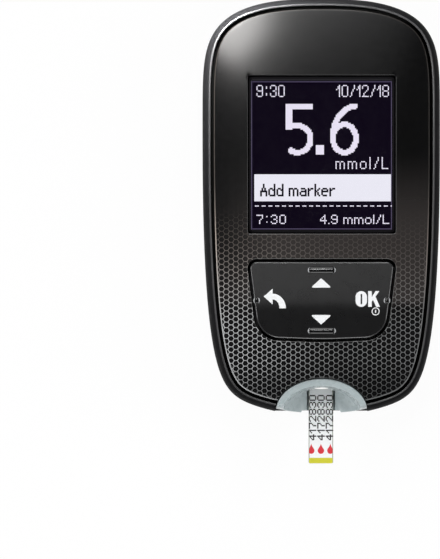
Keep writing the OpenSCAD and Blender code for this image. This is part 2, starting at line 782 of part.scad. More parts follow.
module strip_contacts() {
    y = port_y + port_b + 1.5;
    low = strip_z + strip_t + 0.22;
    path = [[y, board_z - 0.2], [y + 1.3, board_z - 0.2], [y + 4.2, low], [y + 4.6, low],
        [y + 5.1, low + 0.5]];
    color(gold) place() for (x = [-1.75:0.7:1.75]) across(ribbon(path, 0.15), x - 0.17, x + 0.17);
}

// ---- ejector ----

module ejector_button() {
    z0 = button_z - button_h / 2;
    z1 = button_z + button_h / 2;
    half = button_l / 2;
    push_x = short_x + short_r + free;
    color(plastic) place() {
        difference() {
            intersection() {
                block(flange_x, body_w, button_y - half, button_y + half, z0, z1);
                prism(inset(outline(), fit), z0 - past, z1 + past);
            }
            for (y = [button_y - 2:2:button_y + 2])
                block(body_w / 2 - 0.6, body_w, y - 0.3, y + 0.3, z0 - past, z1 + past);
        }
        block(flange_x, flange_x + button_flange,
            button_y - half - button_lip, button_y + half + button_lip, z0, z1);
        block(push_x, flange_x + past / 2, short_y + fit, short_y + 1.5,
            lever_z - 0.2, lever_z + lever_t + 0.2);
    }
}

// An arm of the lever, from its hub to a round tip
module arm(length, w0, w1) {
    linear_extrude(lever_t) polygon([[0, -w0], [length, -w1], [length, w1], [0, w0]]);
    translate([length, 0, 0]) cylinder(r = w1, h = lever_t);
}

module ejector_lever() {
    color(white) place() translate([lever_x, lever_y, lever_z]) difference() {
        union() {
            cylinder(r = hub_r, h = lever_t);
            rotate(180 - lever_swing / 2) {
                arm(lever_x, 1.3, 1);
                translate([lever_x, 0, 0]) cylinder(r = push_r, h = strip_z + 0.6 * strip_t - lever_z);
            }
            rotate(90 - lever_swing / 2) arm(lever_short, 1.2, short_r);
        }
        translate([0, 0, -past]) cylinder(r = pin_r + 0.05, h = lever_t + 2 * past);
    }
}

module lever_pin() {
    head = lever_z + lever_t + fit;
    color(steel) place() {
        post([lever_x, lever_y], pin_r, pin_foot, head + fit);
        post([lever_x, lever_y], hub_r - 0.4, head, head + 0.5);
    }
}

module ejector_spring() {
    x0 = rib_x + wire_r + seat;
    x1 = flange_x - wire_r - seat;
    color(steel) place() loft([for (i = [0:spring_steps])
        let (f = i / spring_steps, a = 360 * spring_turns * f, x = x0 + (x1 - x0) * f)
        [for (b = [0:60:300]) let (r = spring_r + wire_r * cos(b))
            [x - wire_r * sin(b), spring_y + r * cos(a), button_z + r * sin(a)]]]);
}

// ---- batteries ----

module coin_cell(y) {
    r = cell_d / 2;
    color(steel) place() translate([0, y, cell_z]) rotate_extrude() polygon([
        [0, 0], [r - 0.3, 0], [r, 0.3], [r, cell_h - 0.8], [r - 0.4, cell_h - 0.4], [r - 0.9, cell_h - 0.4],
        [r - 1.2, cell_h - 0.1], [r - 1.4, cell_h], [0, cell_h]]);
}

module battery_cell_upper() {
    coin_cell(cell_up);
}

module battery_cell_lower() {
    coin_cell(cell_low);
}

// A leaf from the board through the bay's roof to a cell; s = 1 reaches up, s = -1 down
function leaf_path(y, s) = [[y, board_z - seat], [y, leaf_roof], [y + s * 3, leaf_roof],
    [y + s * 5, leaf_touch], [y + s * 5.8, leaf_touch], [y + s * 6.4, leaf_touch + 0.3]];

// Half of the strap that joins the cells, from its free end to its middle
function strap_half(y, s) = [[y + s * 3.6, leaf_touch + 0.3], [y + s * 4.2, leaf_touch],
    [y + s * 5, leaf_touch], [y + s * 7, leaf_roof]];

module battery_contacts() {
    low = strap_half(cell_low, 1);
    color(gold) place() {
        across(ribbon(leaf_path(leaf_spots[0], -1), leaf_t), leaf_x - leaf_w / 2, leaf_x + leaf_w / 2);
        across(ribbon(leaf_path(leaf_spots[1], 1), leaf_t), leaf_x - leaf_w / 2, leaf_x + leaf_w / 2);
        across(ribbon(concat(strap_half(cell_up, -1), [for (i = [3:-1:0]) low[i]]), leaf_t),
            -leaf_x - leaf_w / 2, -leaf_x + leaf_w / 2);
    }
}

module battery_door() {
    color(plastic) place() {
        difference() {
            prism(door_outline(0), door_recess, door_top);
            for (x = [-tab_w / 2, tab_w / 2])
                block(x - slit_w / 2, x + slit_w / 2, door_end - past, door_end + tab_l,
                    -past, door_top + past);
            for (i = [0:2]) let (y = door_end + 0.8 + i * 0.9)
                block(-tab_w / 2 + 1.5, tab_w / 2 - 1.5, y, y + 0.4, -past, door_recess + 0.3);
        }
        translate([0, hinge_y, hinge_z]) rotate([0, 90, 0]) {
            cylinder(r = door_t / 2 - 0.02, h = door_w, center = true);
            cylinder(r = hinge_r, h = door_w + 2 * hinge_l, center = true);
        }
        for (y = [cell_up, cell_low]) post([0, y], 4, door_top - fit, cell_z - seat);
    }
}

module cover_screws() {
    low = head_z - seat - head_h;
    color(steel) place() for (s = boss_spots) difference() {
        union() {
            post(s, head_r, low, head_z - seat);
            post(s, screw_r, head_z - fit, screw_top);
        }
        post(s, 0.5, low - past, low + 0.6, $fn = 6);
    }
}

front_cover();
rear_cover();
face_plate();
display_window();
lcd_glass();
lcd_backlight();
lcd_frame();
lcd_flex();
keypad();
pad_pivot();
key_mat();
dome_switches();
main_board();
board_chips();
buzzer();
strip_connector();
strip_contacts();
port_bezel();
port_light();
ejector_button();
ejector_lever();
lever_pin();
ejector_spring();
test_strip();
battery_door();
battery_cell_upper();
battery_cell_lower();
battery_contacts();
usb_socket();
cover_screws();
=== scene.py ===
"""Looks for the blood glucose meter. Lengths in this file are millimetres about the middle of
the housing, and settle() takes each finished mesh to metres in the row's frame."""

import json
import math

import bmesh
import bpy
from mathutils import Matrix, Vector


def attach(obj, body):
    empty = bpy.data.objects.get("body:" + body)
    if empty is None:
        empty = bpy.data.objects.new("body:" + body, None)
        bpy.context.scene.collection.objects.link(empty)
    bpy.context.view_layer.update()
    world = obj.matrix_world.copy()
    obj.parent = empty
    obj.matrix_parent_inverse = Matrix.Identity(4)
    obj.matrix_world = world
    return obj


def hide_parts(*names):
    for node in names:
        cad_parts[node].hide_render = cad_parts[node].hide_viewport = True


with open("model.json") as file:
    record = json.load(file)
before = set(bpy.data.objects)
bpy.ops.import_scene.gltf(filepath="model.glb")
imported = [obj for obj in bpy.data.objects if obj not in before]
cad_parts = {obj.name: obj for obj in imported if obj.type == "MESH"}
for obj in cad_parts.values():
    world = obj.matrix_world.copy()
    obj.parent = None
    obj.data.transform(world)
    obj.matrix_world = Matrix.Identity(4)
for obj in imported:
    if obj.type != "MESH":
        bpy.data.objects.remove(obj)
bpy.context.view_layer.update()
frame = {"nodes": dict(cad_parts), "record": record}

MM = 0.001
STRIP_OUT = 9.3

# Housing
BODY_W = 46.0
BODY_L = 80.8
TOP_Y = BODY_L / 2
END_Y = -BODY_L / 2
SHOULDER = 27.0
CHIN = 6.41
UPPER_BULGE = (2.592, 5.3)
LOWER_BULGE = (10.874, 2.318)
QUARTER = 44
WALL = 1.7
BACK_ROLL = 8.5
ROLL_BULGE = 0.45
RIM_IN = 1.35
GROOVE_IN = 1.6
PLATE_IN = 2.2
TONGUE_IN = 0.9
SPLIT_Z = 10.5
DECK_UNDER = 15.7
DECK_Z = 17.2
RIM_Z = 18.6
EDGE_Z = 18.75
CROWN = 0.95

# Window and key pad
WINDOW_Y = 10.15
WINDOW = (28.5, 30.5)
VIEW = (27.3, 29.3)
PAD_Y = -10.45
PAD_H = 15.05
PAD_W = 27.65
PAD_MID = PAD_Y - PAD_H / 2
PAD_SLANT = math.radians(6.3)
PAD_GAP = 0.45
PAD_Z = 19.51
PAD_FLANGE_Z = 14.85
PAD_WALL = 1.3
PAD_CREASE = 1.2
PIP_X = 12.55
PIP_Y = 5.85
KEY_X = 8.87
KEY_Y = 3.675
PLUNGER_R = 1.5
PLUNGER_Z = 15.65

# Port and strip
PORT_A = 8.8
PORT_B = 6.3
PORT_Y = END_Y + 1.05
PORT_Z = 5.3
PORT_GAP = 0.2
SETBACK = 0.5
CHANNEL_W = 5.55
SLOT_Z = 9.7
STRIP_W = 4.75
STRIP_Z = 9.9
STRIP_T = 0.45
STRIP_END = END_Y + 16.6

# Ejector button, battery door, screws and socket
BUTTON_Y = -20.787
BUTTON_Z = 7.55
BUTTON_L = 9.0
BUTTON_H = 3.7
FLANGE_X = 16.915
CELL_UP = 16.9
CELL_LOW = -4.6
BAY_R = 10.4
BAY_Z = 6.1
HINGE_Y = 28.6
HINGE_Z = 0.9
DOOR_W = 23.6
DOOR_T = 1.4
DOOR_LOW = 0.2
DOOR_END = -19.6
BOSSES = ((13.5, 32.6), (-13.5, 32.6), (13.0, -31.4), (-13.0, -31.4))
BOSS_R = 2.5
BOARD_TOP = 13.25
FLOOR_IN = 0.85
LEVER_PIN = (12.3, -25.934)
USB_Z = 14.45


# ---- outlines ----

def cosd(degrees):
    return math.cos(math.radians(degrees))


def sind(degrees):
    return math.sin(math.radians(degrees))


def side_point(k, inward):
    """A point of the housing's right side; k = 0 is the chin and 2 * QUARTER the top end."""
    half = BODY_W / 2 - inward
    crown = SHOULDER - inward
    low = BODY_L - 2 * inward - crown - CHIN
    shoulder = TOP_Y - SHOULDER
    if k <= QUARTER:
        u = math.sin(math.pi / 2 * k / QUARTER)
        fall = max(0.0, 1 - u ** LOWER_BULGE[0]) ** (1 / LOWER_BULGE[1])
        return half * u, shoulder - low * fall - CHIN * (1 - u * u)
    v = math.sin(math.pi / 2 * (k - QUARTER) / QUARTER)
    return half * max(0.0, 1 - v ** UPPER_BULGE[1]) ** (1 / UPPER_BULGE[0]), shoulder + crown * v


def outline(inward=0.0):
    right = [side_point(k, inward) for k in range(2 * QUARTER + 1)]
    return right + [(-x, y) for x, y in reversed(right[1:-1])]


def inset(points, depth):
    """A closed counterclockwise outline moved in by depth."""
    if not depth:
        return list(points)
    moved = []
    for i, here in enumerate(points):
        before, after = Vector(points[i - 1]), Vector(points[(i + 1) % len(points)])
        into, away = (Vector(here) - before).normalized(), (after - Vector(here)).normalized()
        left_in, left_away = Vector((-into.y, into.x)), Vector((-away.y, away.x))
        moved.append(tuple(Vector(here) + depth * (left_in + left_away) / (1 + left_in.dot(left_away))))
    return moved


def bend(cx, cy, rx, ry, start, end, steps=18):
    """Points on a stretch of an ellipse, from one angle in degrees to another."""
    turns = [start + (end - start) * i / steps for i in range(steps + 1)]
    return [(cx + rx * cosd(t), cy + ry * sind(t)) for t in turns]


def arc(centre, radius, start, end, steps):
    return bend(centre[0], centre[1], radius, radius, start, end, steps)


def round_rect(w, h, r, centre=(0.0, 0.0), steps=6):
    x, y = w / 2 - r, h / 2 - r
    corners = ((x, -y, -90), (x, y, 0), (-x, y, 90), (-x, -y, 180))
    points = []
    for cx, cy, start in corners:
        points += arc((centre[0] + cx, centre[1] + cy), r, start, start + 90, steps)
    return points


def oval(a, b, y, steps=96):
    return [(a * math.cos(2 * math.pi * i / steps), y + b * math.sin(2 * math.pi * i / steps))
            for i in range(steps)]


def pad_outline(inward):
    """The key pad's outline: straight slanting sides, small top corners, large bottom corners."""
    corner, chin_r, belly = 1.35, 4.6, 0.25
    low = PAD_Y - PAD_H + belly + chin_r
    fall = math.degrees(math.asin(4 * belly / PAD_W))
    side = PAD_W / 2 - (PAD_Y - low) * math.tan(PAD_SLANT)
    slant = math.degrees(PAD_SLANT)
    big = PAD_W * PAD_W / 32 / belly
    right = arc((0, PAD_Y - PAD_H + big), big - inward, -90, -90 + fall, 8)
    right += arc((side - chin_r / math.cos(PAD_SLANT), low), chin_r - inward, -90 + fall, -slant, 16)
    right += arc((PAD_W / 2 - corner, PAD_Y - corner), corner - inward, -slant, 90, 10)
    return right + [(-x, y) for x, y in reversed(right[1:])]


def at_height(points, z):
    return [Vector((x, y, z)) for x, y in points]


# ---- mesh building ----

def skin(rings, cap=True):
    """A mesh drawn out from a circle of points through one ring after another."""
    bm = bmesh.new()
    spot = bm.verts.layers.int.new("spot")
    first = bmesh.ops.create_circle(bm, segments=len(rings[0]))["verts"]
    for i, vert in enumerate(first):
        vert[spot] = i
        vert.co = rings[0][i]
    edges = list({edge for vert in first for edge in vert.link_edges})
    starts = list(edges)
    for points in rings[1:]:
        made = bmesh.ops.extrude_edge_only(bm, edges=edges)["geom"]
        verts = {item for item in made if isinstance(item, bmesh.types.BMVert)}
        for vert in verts:
            vert.co = points[vert[spot]]
        edges = [item for item in made if isinstance(item, bmesh.types.BMEdge)
                 and item.verts[0] in verts and item.verts[1] in verts]
    if cap:
        bmesh.ops.contextual_create(bm, geom=starts)
        bmesh.ops.contextual_create(bm, geom=edges)
    bmesh.ops.recalc_face_normals(bm, faces=bm.faces)
    return bm


def prism(points, low, high):
    return skin([at_height(points, low), at_height(points, high)])


def block(low, high):
    bm = bmesh.new()
    bmesh.ops.create_cube(bm, size=1)
    size = Vector(high) - Vector(low)
    middle = (Vector(high) + Vector(low)) / 2
    bmesh.ops.scale(bm, verts=bm.verts, vec=size)
    bmesh.ops.translate(bm, verts=bm.verts, vec=middle)
    return bm


def rod(radius, depth, centre, axis="Z", segments=48):
    turn = {"X": Matrix.Rotation(math.pi / 2, 4, "Y"), "Y": Matrix.Rotation(math.pi / 2, 4, "X"),
            "Z": Matrix.Identity(4)}[axis]
    bm = bmesh.new()
    bmesh.ops.create_cone(bm, cap_ends=True, segments=segments, radius1=radius, radius2=radius,
                          depth=depth, matrix=Matrix.Translation(centre) @ turn)
    return bm


def posts(spots, radius, low, high, segments=48):
    """Upright rods between two heights."""
    return join([rod(radius, high - low, (x, y, (high + low) / 2), segments=segments) for x, y in spots])


def soften(bm, width, segments=3, angle=40):
    """Rounds every edge sharper than angle."""
    edges = [edge for edge in bm.edges
             if len(edge.link_faces) == 2 and math.degrees(edge.calc_face_angle()) > angle]
    bmesh.ops.bevel(bm, geom=edges, offset=width, offset_type="OFFSET", affect="EDGES",
                    segments=segments, profile=0.5, material=-1, clamp_overlap=True)
    return bm


def join(parts):
    """One mesh from several, each freed."""
    whole = bmesh.new()
    for part in parts:
        store = bpy.data.meshes.new("part")
        part.to_mesh(store)
        part.free()
        whole.from_mesh(store)
        bpy.data.meshes.remove(store)
    return whole


def piece(name, bm):
    mesh = bpy.data.meshes.new(name)
    bm.to_mesh(mesh)
    bm.free()
    thing = bpy.data.objects.new(name, mesh)
    bpy.context.scene.collection.objects.link(thing)
    return thing


def carve(thing, cutters, operation="DIFFERENCE"):
    """Cuts each mesh out of a piece, or joins or keeps what is common."""
    for cutter in cutters:
        tool = piece("tool", cutter)
        step = thing.modifiers.new("carve", "BOOLEAN")
        step.operation = operation
        step.solver = "EXACT"
        step.object = tool
        shaped = bpy.data.meshes.new_from_object(
            thing.evaluated_get(bpy.context.evaluated_depsgraph_get()))
        thing.modifiers.clear()
        old = thing.data
        thing.data = shaped
        bpy.data.meshes.remove(old)
        tool_mesh = tool.data
        bpy.data.objects.remove(tool)
        bpy.data.meshes.remove(tool_mesh)
    return thing


def settle(thing, name, body, slot, stands_for=(), angle=28, clean=True, finish=None):
    """Takes a piece to metres in the row's frame, smooths it and says what it rides on. It takes
    the slot's finish, or one of the extra finishes."""
    bm = bmesh.new()
    bm.from_mesh(thing.data)
    if clean:
        bmesh.ops.remove_doubles(bm, verts=bm.verts, dist=0.0005)
        bmesh.ops.dissolve_degenerate(bm, edges=bm.edges, dist=0.0002)
    bmesh.ops.recalc_face_normals(bm, faces=bm.faces)
    bmesh.ops.translate(bm, verts=bm.verts, vec=(0, STRIP_OUT / 2, 0))
    bmesh.ops.scale(bm, verts=bm.verts, vec=(MM, MM, MM))
    bm.to_mesh(thing.data)
    bm.free()
    thing.name = name.replace(" ", "_")
    thing.data.name = thing.name
    thing.data.shade_smooth()
    thing.data.set_sharp_from_angle(angle=math.radians(angle))
    even = thing.modifiers.new("even shading", "WEIGHTED_NORMAL")
    even.keep_sharp = True
    thing.data.materials.clear()
    thing.data.materials.append(finish_of[slot])
    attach(thing, body)
    if stands_for:
        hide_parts(*stands_for)
    if finish:
        thing.data.materials[0] = extra[finish]
    return thing


def tint(thing, finish, chosen):
    """Gives another finish to the faces whose middle and direction are chosen."""
    thing.data.materials.append(extra[finish])
    for face in thing.data.polygons:
        x, y, z = face.center / MM
        if chosen(Vector((x, y - STRIP_OUT / 2, z)), face.normal):
            face.material_index = len(thing.data.materials) - 1


# ---- finishes ----

class Finish:
    """A procedural material; each method adds a node and gives back its output."""

    def __init__(self, name):
        self.material = bpy.data.materials.new(name)
        self.material.use_nodes = True
        self.tree = self.material.node_tree
        self.shader = self.tree.nodes["Principled BSDF"]
        self.place = self.node("ShaderNodeTexCoord").outputs["Object"]

    def node(self, kind, **settings):
        made = self.tree.nodes.new(kind)
        for key, value in settings.items():
            setattr(made, key, value)
        return made

    def feed(self, socket, value):
        if isinstance(value, bpy.types.NodeSocket):
            self.tree.links.new(value, socket)
        else:
            socket.default_value = value

    def fill(self, sockets, values):
        for socket, value in zip(sockets, values):
            self.feed(socket, value)

    def sum(self, kind, a, b=0.0, c=0.0):
        made = self.node("ShaderNodeMath", operation=kind)
        self.fill(made.inputs, (a, b, c))
        return made.outputs[0]

    def vector(self, kind, a, b=(0, 0, 0), c=(0, 0, 0)):
        made = self.node("ShaderNodeVectorMath", operation=kind)
        self.fill(made.inputs, (a, b, c))
        return made.outputs["Value" if kind in ("DOT_PRODUCT", "LENGTH", "DISTANCE") else "Vector"]

    def noise(self, scale, detail=2.0):
        made = self.node("ShaderNodeTexNoise")
        self.feed(made.inputs["Vector"], self.place)
        self.feed(made.inputs["Scale"], scale)
        self.feed(made.inputs["Detail"], detail)
        return made.outputs["Fac"]

    def ramp(self, value, low, high, start=0.0, stop=1.0, smooth=True):
        made = self.node("ShaderNodeMapRange", clamp=True,
                         interpolation_type="SMOOTHSTEP" if smooth else "LINEAR")
        self.fill(made.inputs, (value, low, high, start, stop))
        return made.outputs[0]

    def patchy(self, scale, detail, low, high):
        """A value that wanders between low and high."""
        return self.ramp(self.noise(scale, detail), 0.3, 0.7, low, high)

    def mix(self, share, a, b):
        made = self.node("ShaderNodeMix", data_type="RGBA")
        self.feed(made.inputs[0], share)
        self.feed(made.inputs[6], a)
        self.feed(made.inputs[7], b)
        return made.outputs[2]

    def axes(self):
        made = self.node("ShaderNodeSeparateXYZ")
        self.feed(made.inputs[0], self.place)
        return made.outputs

    def bump(self, height, depth_mm):
        made = self.node("ShaderNodeBump")
        self.feed(made.inputs["Height"], height)
        self.feed(made.inputs["Distance"], depth_mm * MM)
        self.feed(self.shader.inputs["Normal"], made.outputs[0])

    def set(self, **values):
        for key, value in values.items():
            self.feed(self.shader.inputs[key.replace("_", " ")], value)

    def show(self, closure):
        """Puts another shader than the usual one on the surface."""
        self.feed(self.tree.nodes["Material Output"].inputs["Surface"], closure)


def rgb(r, g, b):
    """A display colour from 0 to 255 as a linear one."""
    def linear(c):
        c = c / 255
        return c / 12.92 if c <= 0.04045 else ((c + 0.055) / 1.055) ** 2.4
    return (linear(r), linear(g), linear(b), 1.0)


class Effect(Finish):
    """A node group of shader effects, built once and placed in each material with its own values."""

    def __init__(self, name, **inputs):
        self.tree = bpy.data.node_groups.new(name, "ShaderNodeTree")
        for title, kind in inputs.items():
            self.tree.interface.new_socket(title.replace("_", " "), in_out="INPUT", socket_type=kind)
        self.place = self.node("ShaderNodeTexCoord").outputs["Object"]
        self.given = self.node("NodeGroupInput").outputs

    def gives(self, **outputs):
        for title, (kind, value) in outputs.items():
            self.tree.interface.new_socket(title, in_out="OUTPUT", socket_type=kind)
        result = self.node("NodeGroupOutput")
        for title, (kind, value) in outputs.items():
            self.feed(result.inputs[title], value)
        return self.tree


def surface_effect():
    """A cloud between two colours, an uneven sheen and a fine grain."""
    number, colour = "NodeSocketFloat", "NodeSocketColor"
    e = Effect("clouded grain", Dark=colour, Light=colour, Cloud_Scale=number, Smooth=number,
               Rough=number, Sheen_Scale=number, Grain_Scale=number)
    given = e.given
    return e.gives(
        Color=(colour, e.mix(e.noise(given["Cloud Scale"], 3), given["Dark"], given["Light"])),
        Roughness=(number, e.patchy(given["Sheen Scale"], 3, given["Smooth"], given["Rough"])),
        Grain=(number, e.noise(given["Grain Scale"], 3)))


CLOUDED_GRAIN = surface_effect()


def clouded(f, dark, light, smooth, rough, cloud_scale, sheen_scale, grain_scale, grain_mm):
    """Puts the shared surface effect in a material."""
    effect = f.node("ShaderNodeGroup", node_tree=CLOUDED_GRAIN)
    f.fill(effect.inputs, (dark, light, cloud_scale, smooth, rough, sheen_scale, grain_scale))
    f.set(Base_Color=effect.outputs["Color"], Roughness=effect.outputs["Roughness"])
    f.bump(effect.outputs["Grain"], grain_mm)


def moulded(name, dark, light, rough, grain_mm=0.004, grain=9000, specular=0.5, uneven=0.05):
    """Moulded plastic: a little colour cloud, a fine grain and an uneven sheen."""
    f = Finish(name)
    clouded(f, dark, light, rough - uneven, rough + uneven, 260, 700, grain, grain_mm)
    f.set(Specular_IOR_Level=specular)
    return f


def metal(name, dark, light, rough):
    f = Finish(name)
    clouded(f, dark, light, rough - 0.06, rough + 0.08, 900, 2500, 12000, 0.002)
    f.set(Metallic=1.0)
    return f


def shell_finish():
    """Dark matt housing with fine spark erosion."""
    return moulded("dark housing plastic", rgb(22, 22, 23), rgb(26, 26, 27), 0.6, 0.004, 11000, 0.02)


def hex_cells(f, pitch_x, pitch_y, across):
    """Distance from the middle of the nearest flat-topped hexagon, 0 in the middle and 1 at a wall,
    and the offset from that middle, both in millimetres of the face."""
    step = (pitch_x * 2 * MM, pitch_y * MM, 1.0)
    half = (pitch_x * MM, pitch_y / 2 * MM, 0.5)
    def offset(shift):
        moved = f.vector("ADD", f.place, shift)
        wrapped = f.node("ShaderNodeVectorMath", operation="WRAP")
        f.feed(wrapped.inputs[0], moved)
        f.feed(wrapped.inputs[1], half)
        f.feed(wrapped.inputs[2], tuple(-h for h in half))
        return f.vector("MULTIPLY", wrapped.outputs[0], (1, 1, 0))
    one, two = offset((0, 0, 0)), offset((step[0] / 2, step[1] / 2, 0))
    nearer = f.sum("LESS_THAN", f.vector("LENGTH", one), f.vector("LENGTH", two))
    made = f.node("ShaderNodeMix", data_type="VECTOR")
    f.feed(made.inputs[0], nearer)
    f.feed(made.inputs[4], two)
    f.feed(made.inputs[5], one)
    away = made.outputs[1]
    size = f.vector("ABSOLUTE", away)
    upright = f.vector("DOT_PRODUCT", size, (0, 1, 0))
    slanting = f.vector("DOT_PRODUCT", size, (cosd(30), 0.5, 0))
    reach = f.sum("MAXIMUM", upright, slanting)
    return f.sum("DIVIDE", reach, across / 2 * MM), away, f.vector("LENGTH", size)


def face_finish():
    """Black gloss; a printed grey haze and a honeycomb fade in towards the chin. The honeycomb walls are
    painted brighter on the left and on their lower-left sides, and the bevelled edge carries a painted
    highlight line.
    """
    f = Finish("printed face plate with painted highlights")
    reach, away, far = hex_cells(f, 0.92, 1.06, 1.06)
    x, y, z = f.axes()
    x, y = f.sum("DIVIDE", x, MM), f.sum("SUBTRACT", f.sum("DIVIDE", y, MM), STRIP_OUT / 2)
    wall = f.ramp(reach, 0.78, 0.97)
    dot = f.sum("MULTIPLY", f.ramp(far, 0.24 * MM, 0.06 * MM), 0.012)
    fade = f.sum("POWER", f.ramp(y, 5.5, -24.5), 2.0)
    # Walls that face the lower left are drawn brighter: painted light on one side of each wall.
    lean = f.vector("DOT_PRODUCT", away, (-0.6, -0.8, 0))
    side = f.ramp(lean, -0.5 * MM, 0.5 * MM, 0.45, 1.0, False)
    # The walls are painted brighter towards the left, as painted light, and are darker towards the chin.
    painted_light_falloff = f.ramp(x, -21, 6, 1.0, 0.36)
    speck = f.patchy(1600, 2, 0.85, 1.1)
    painted_light_falloff = f.sum("MULTIPLY", painted_light_falloff, f.ramp(y, -36, -28.5, 0.4, 1))
    light = f.sum("MULTIPLY", f.sum("MULTIPLY", wall, side), f.sum("MULTIPLY", painted_light_falloff, speck))
    cells = f.sum("MULTIPLY", f.sum("MAXIMUM", light, dot), fade)
    haze = f.sum("MULTIPLY", f.ramp(y, -19.6, -17.6), f.ramp(x, -22, -6, 0.1, 1))
    haze = f.sum("MULTIPLY", f.ramp(y, 12, -6), haze)
    base = f.mix(haze, f.mix(f.noise(300, 2), rgb(1, 1, 2), rgb(3, 3, 3)), rgb(44, 41, 40))
    # The plate's bevelled edge below the crown gets a painted highlight line. It is brighter on the left and
    # towards the chin, and is kept to the outer edge, away from the openings.
    below = f.ramp(z, (EDGE_Z + 0.01) * MM, (EDGE_Z - 0.01) * MM)
    line = f.sum("MULTIPLY", below, f.ramp(x, -19, 2, 1, 0.35))
    line = f.sum("MULTIPLY", line, f.ramp(y, 6, -12, 0.08, 0.75))
    past = f.sum("MAXIMUM", f.sum("SUBTRACT", f.sum("ABSOLUTE", x), 14.6), f.sum("SUBTRACT", y, 26.2))
    past = f.sum("MAXIMUM", past, f.sum("SUBTRACT", -26.2, y))
    line = f.sum("MULTIPLY", line, f.ramp(past, -0.1, 0.1))
    # The ink colour serves both the printed honeycomb and the painted highlight line on the edge.
    ink = f.mix(f.ramp(y, -4, -24), rgb(210, 196, 186), rgb(204, 206, 207))
    f.set(Base_Color=f.mix(f.sum("MAXIMUM", line, cells), base, ink),
          Roughness=f.patchy(900, 3, 0.22, 0.235), Specular_IOR_Level=0.53)
    f.bump(f.noise(9000, 2), 0.0004)
    return f


def pad_finish():
    """Satin key pad moulding."""
    return moulded("key pad plastic", rgb(9, 9, 10), rgb(11, 11, 12), 0.28, 0.001, 14000, 0.84, 0.008)


def bezel_finish():
    """Cloudy translucent plastic."""
    f = Finish("cloudy bezel plastic")
    f.set(Base_Color=f.mix(f.noise(180, 2), rgb(170, 181, 183), rgb(175, 186, 188)),
          Roughness=f.patchy(900, 3, 0.26, 0.3), Subsurface_Weight=0.35,
          Subsurface_Radius=(1.0, 1.0, 1.0), Subsurface_Scale=0.8 * MM)
    f.bump(f.noise(5000, 3), 0.003)
    return f


def pane_finish():
    """Clear window pane that adds only its reflection, with a dark grey print round its edge."""
    f = Finish("clear window")
    x, y, _ = f.axes()
    wide = f.sum("SUBTRACT", f.sum("ABSOLUTE", x), 13.62 * MM)
    high = f.sum("SUBTRACT", f.sum("ABSOLUTE", f.sum("SUBTRACT", y, (WINDOW_Y - 0.115 + STRIP_OUT / 2) * MM)),
                 14.34 * MM)
    border = f.ramp(f.sum("MAXIMUM", wide, high), 0.0, 0.04 * MM)
    gloss = f.patchy(600, 3, 0.06, 0.1)
    f.set(Base_Color=f.mix(f.noise(200, 2), rgb(34, 33, 36), rgb(39, 38, 41)), Roughness=0.5,
          Specular_IOR_Level=0.1)
    edge = f.node("ShaderNodeFresnel")
    edge.inputs["IOR"].default_value = 1.46
    glint = f.node("ShaderNodeBsdfAnisotropic")
    f.feed(glint.inputs["Roughness"], gloss)
    blend, whole = f.node("ShaderNodeMixShader"), f.node("ShaderNodeMixShader")
    f.fill(blend.inputs, (edge.outputs[0], see_through(f), glint.outputs[0]))
    f.fill(whole.inputs, (border, blend.outputs[0], f.shader.outputs[0]))
    f.show(whole.outputs[0])
    return f


def see_through(f):
    clear = f.node("ShaderNodeBsdfTransparent")
    f.feed(clear.inputs[0], f.mix(f.noise(300, 2), (0.96, 0.96, 0.97, 1), (0.98, 0.98, 0.99, 1)))
    return clear.outputs[0]


def underside_finish():
    """The pane's back, laid against the display without a reflection of its own."""
    f = Finish("window back")
    f.show(see_through(f))
    return f


def glow(name, colour, strength, dim=0.85, front=None):
    """A dot or lamp that shines by itself, a little uneven, and only up to front where that is given."""
    f = Finish(name)
    f.set(Base_Color=f.mix(f.noise(500, 2), (0, 0, 0, 1), (0.01, 0.01, 0.01, 1)),
          Roughness=f.patchy(900, 2, 0.45, 0.55))
    shade = tuple(c * dim for c in colour[:3]) + (1,)
    bright = f.mix(f.noise(2500, 2), shade, colour)
    if front is not None:
        bright = f.mix(f.ramp(f.axes()[1], front * MM, (front + 0.3) * MM), bright, (0, 0, 0, 1))
    f.set(Emission_Color=bright, Emission_Strength=strength, Specular_IOR_Level=0.05)
    f.bump(f.noise(6000, 2), 0.001)
    return f


def board_finish():
    """Green solder mask with a faint weave and darker tracks."""
    f = Finish("circuit board")
    x, y, _ = f.axes()
    wave_x, wave_y = (f.sum("SINE", f.sum("MULTIPLY", axis, 9000)) for axis in (x, y))
    weave = f.sum("MULTIPLY", wave_x, wave_y)
    f.set(Base_Color=f.mix(f.ramp(f.noise(420, 4), 0.42, 0.52), rgb(8, 60, 34), rgb(16, 96, 55)),
          Roughness=f.ramp(weave, -1, 1, 0.3, 0.42))
    f.bump(weave, 0.01)
    return f


def strip_finish():
    """White strip card with darker cut edges."""
    f = Finish("test strip card")
    x, _, _ = f.axes()
    card = f.mix(f.noise(500, 3), rgb(248, 250, 251), rgb(253, 254, 254))
    cut = f.ramp(f.sum("ABSOLUTE", x), (STRIP_W / 2 - 0.2) * MM, (STRIP_W / 2 - 0.1) * MM)
    f.set(Base_Color=f.mix(cut, card, rgb(150, 156, 140)),
          Roughness=f.patchy(800, 2, 0.36, 0.48))
    f.bump(f.noise(3000, 3), 0.004)
    return f


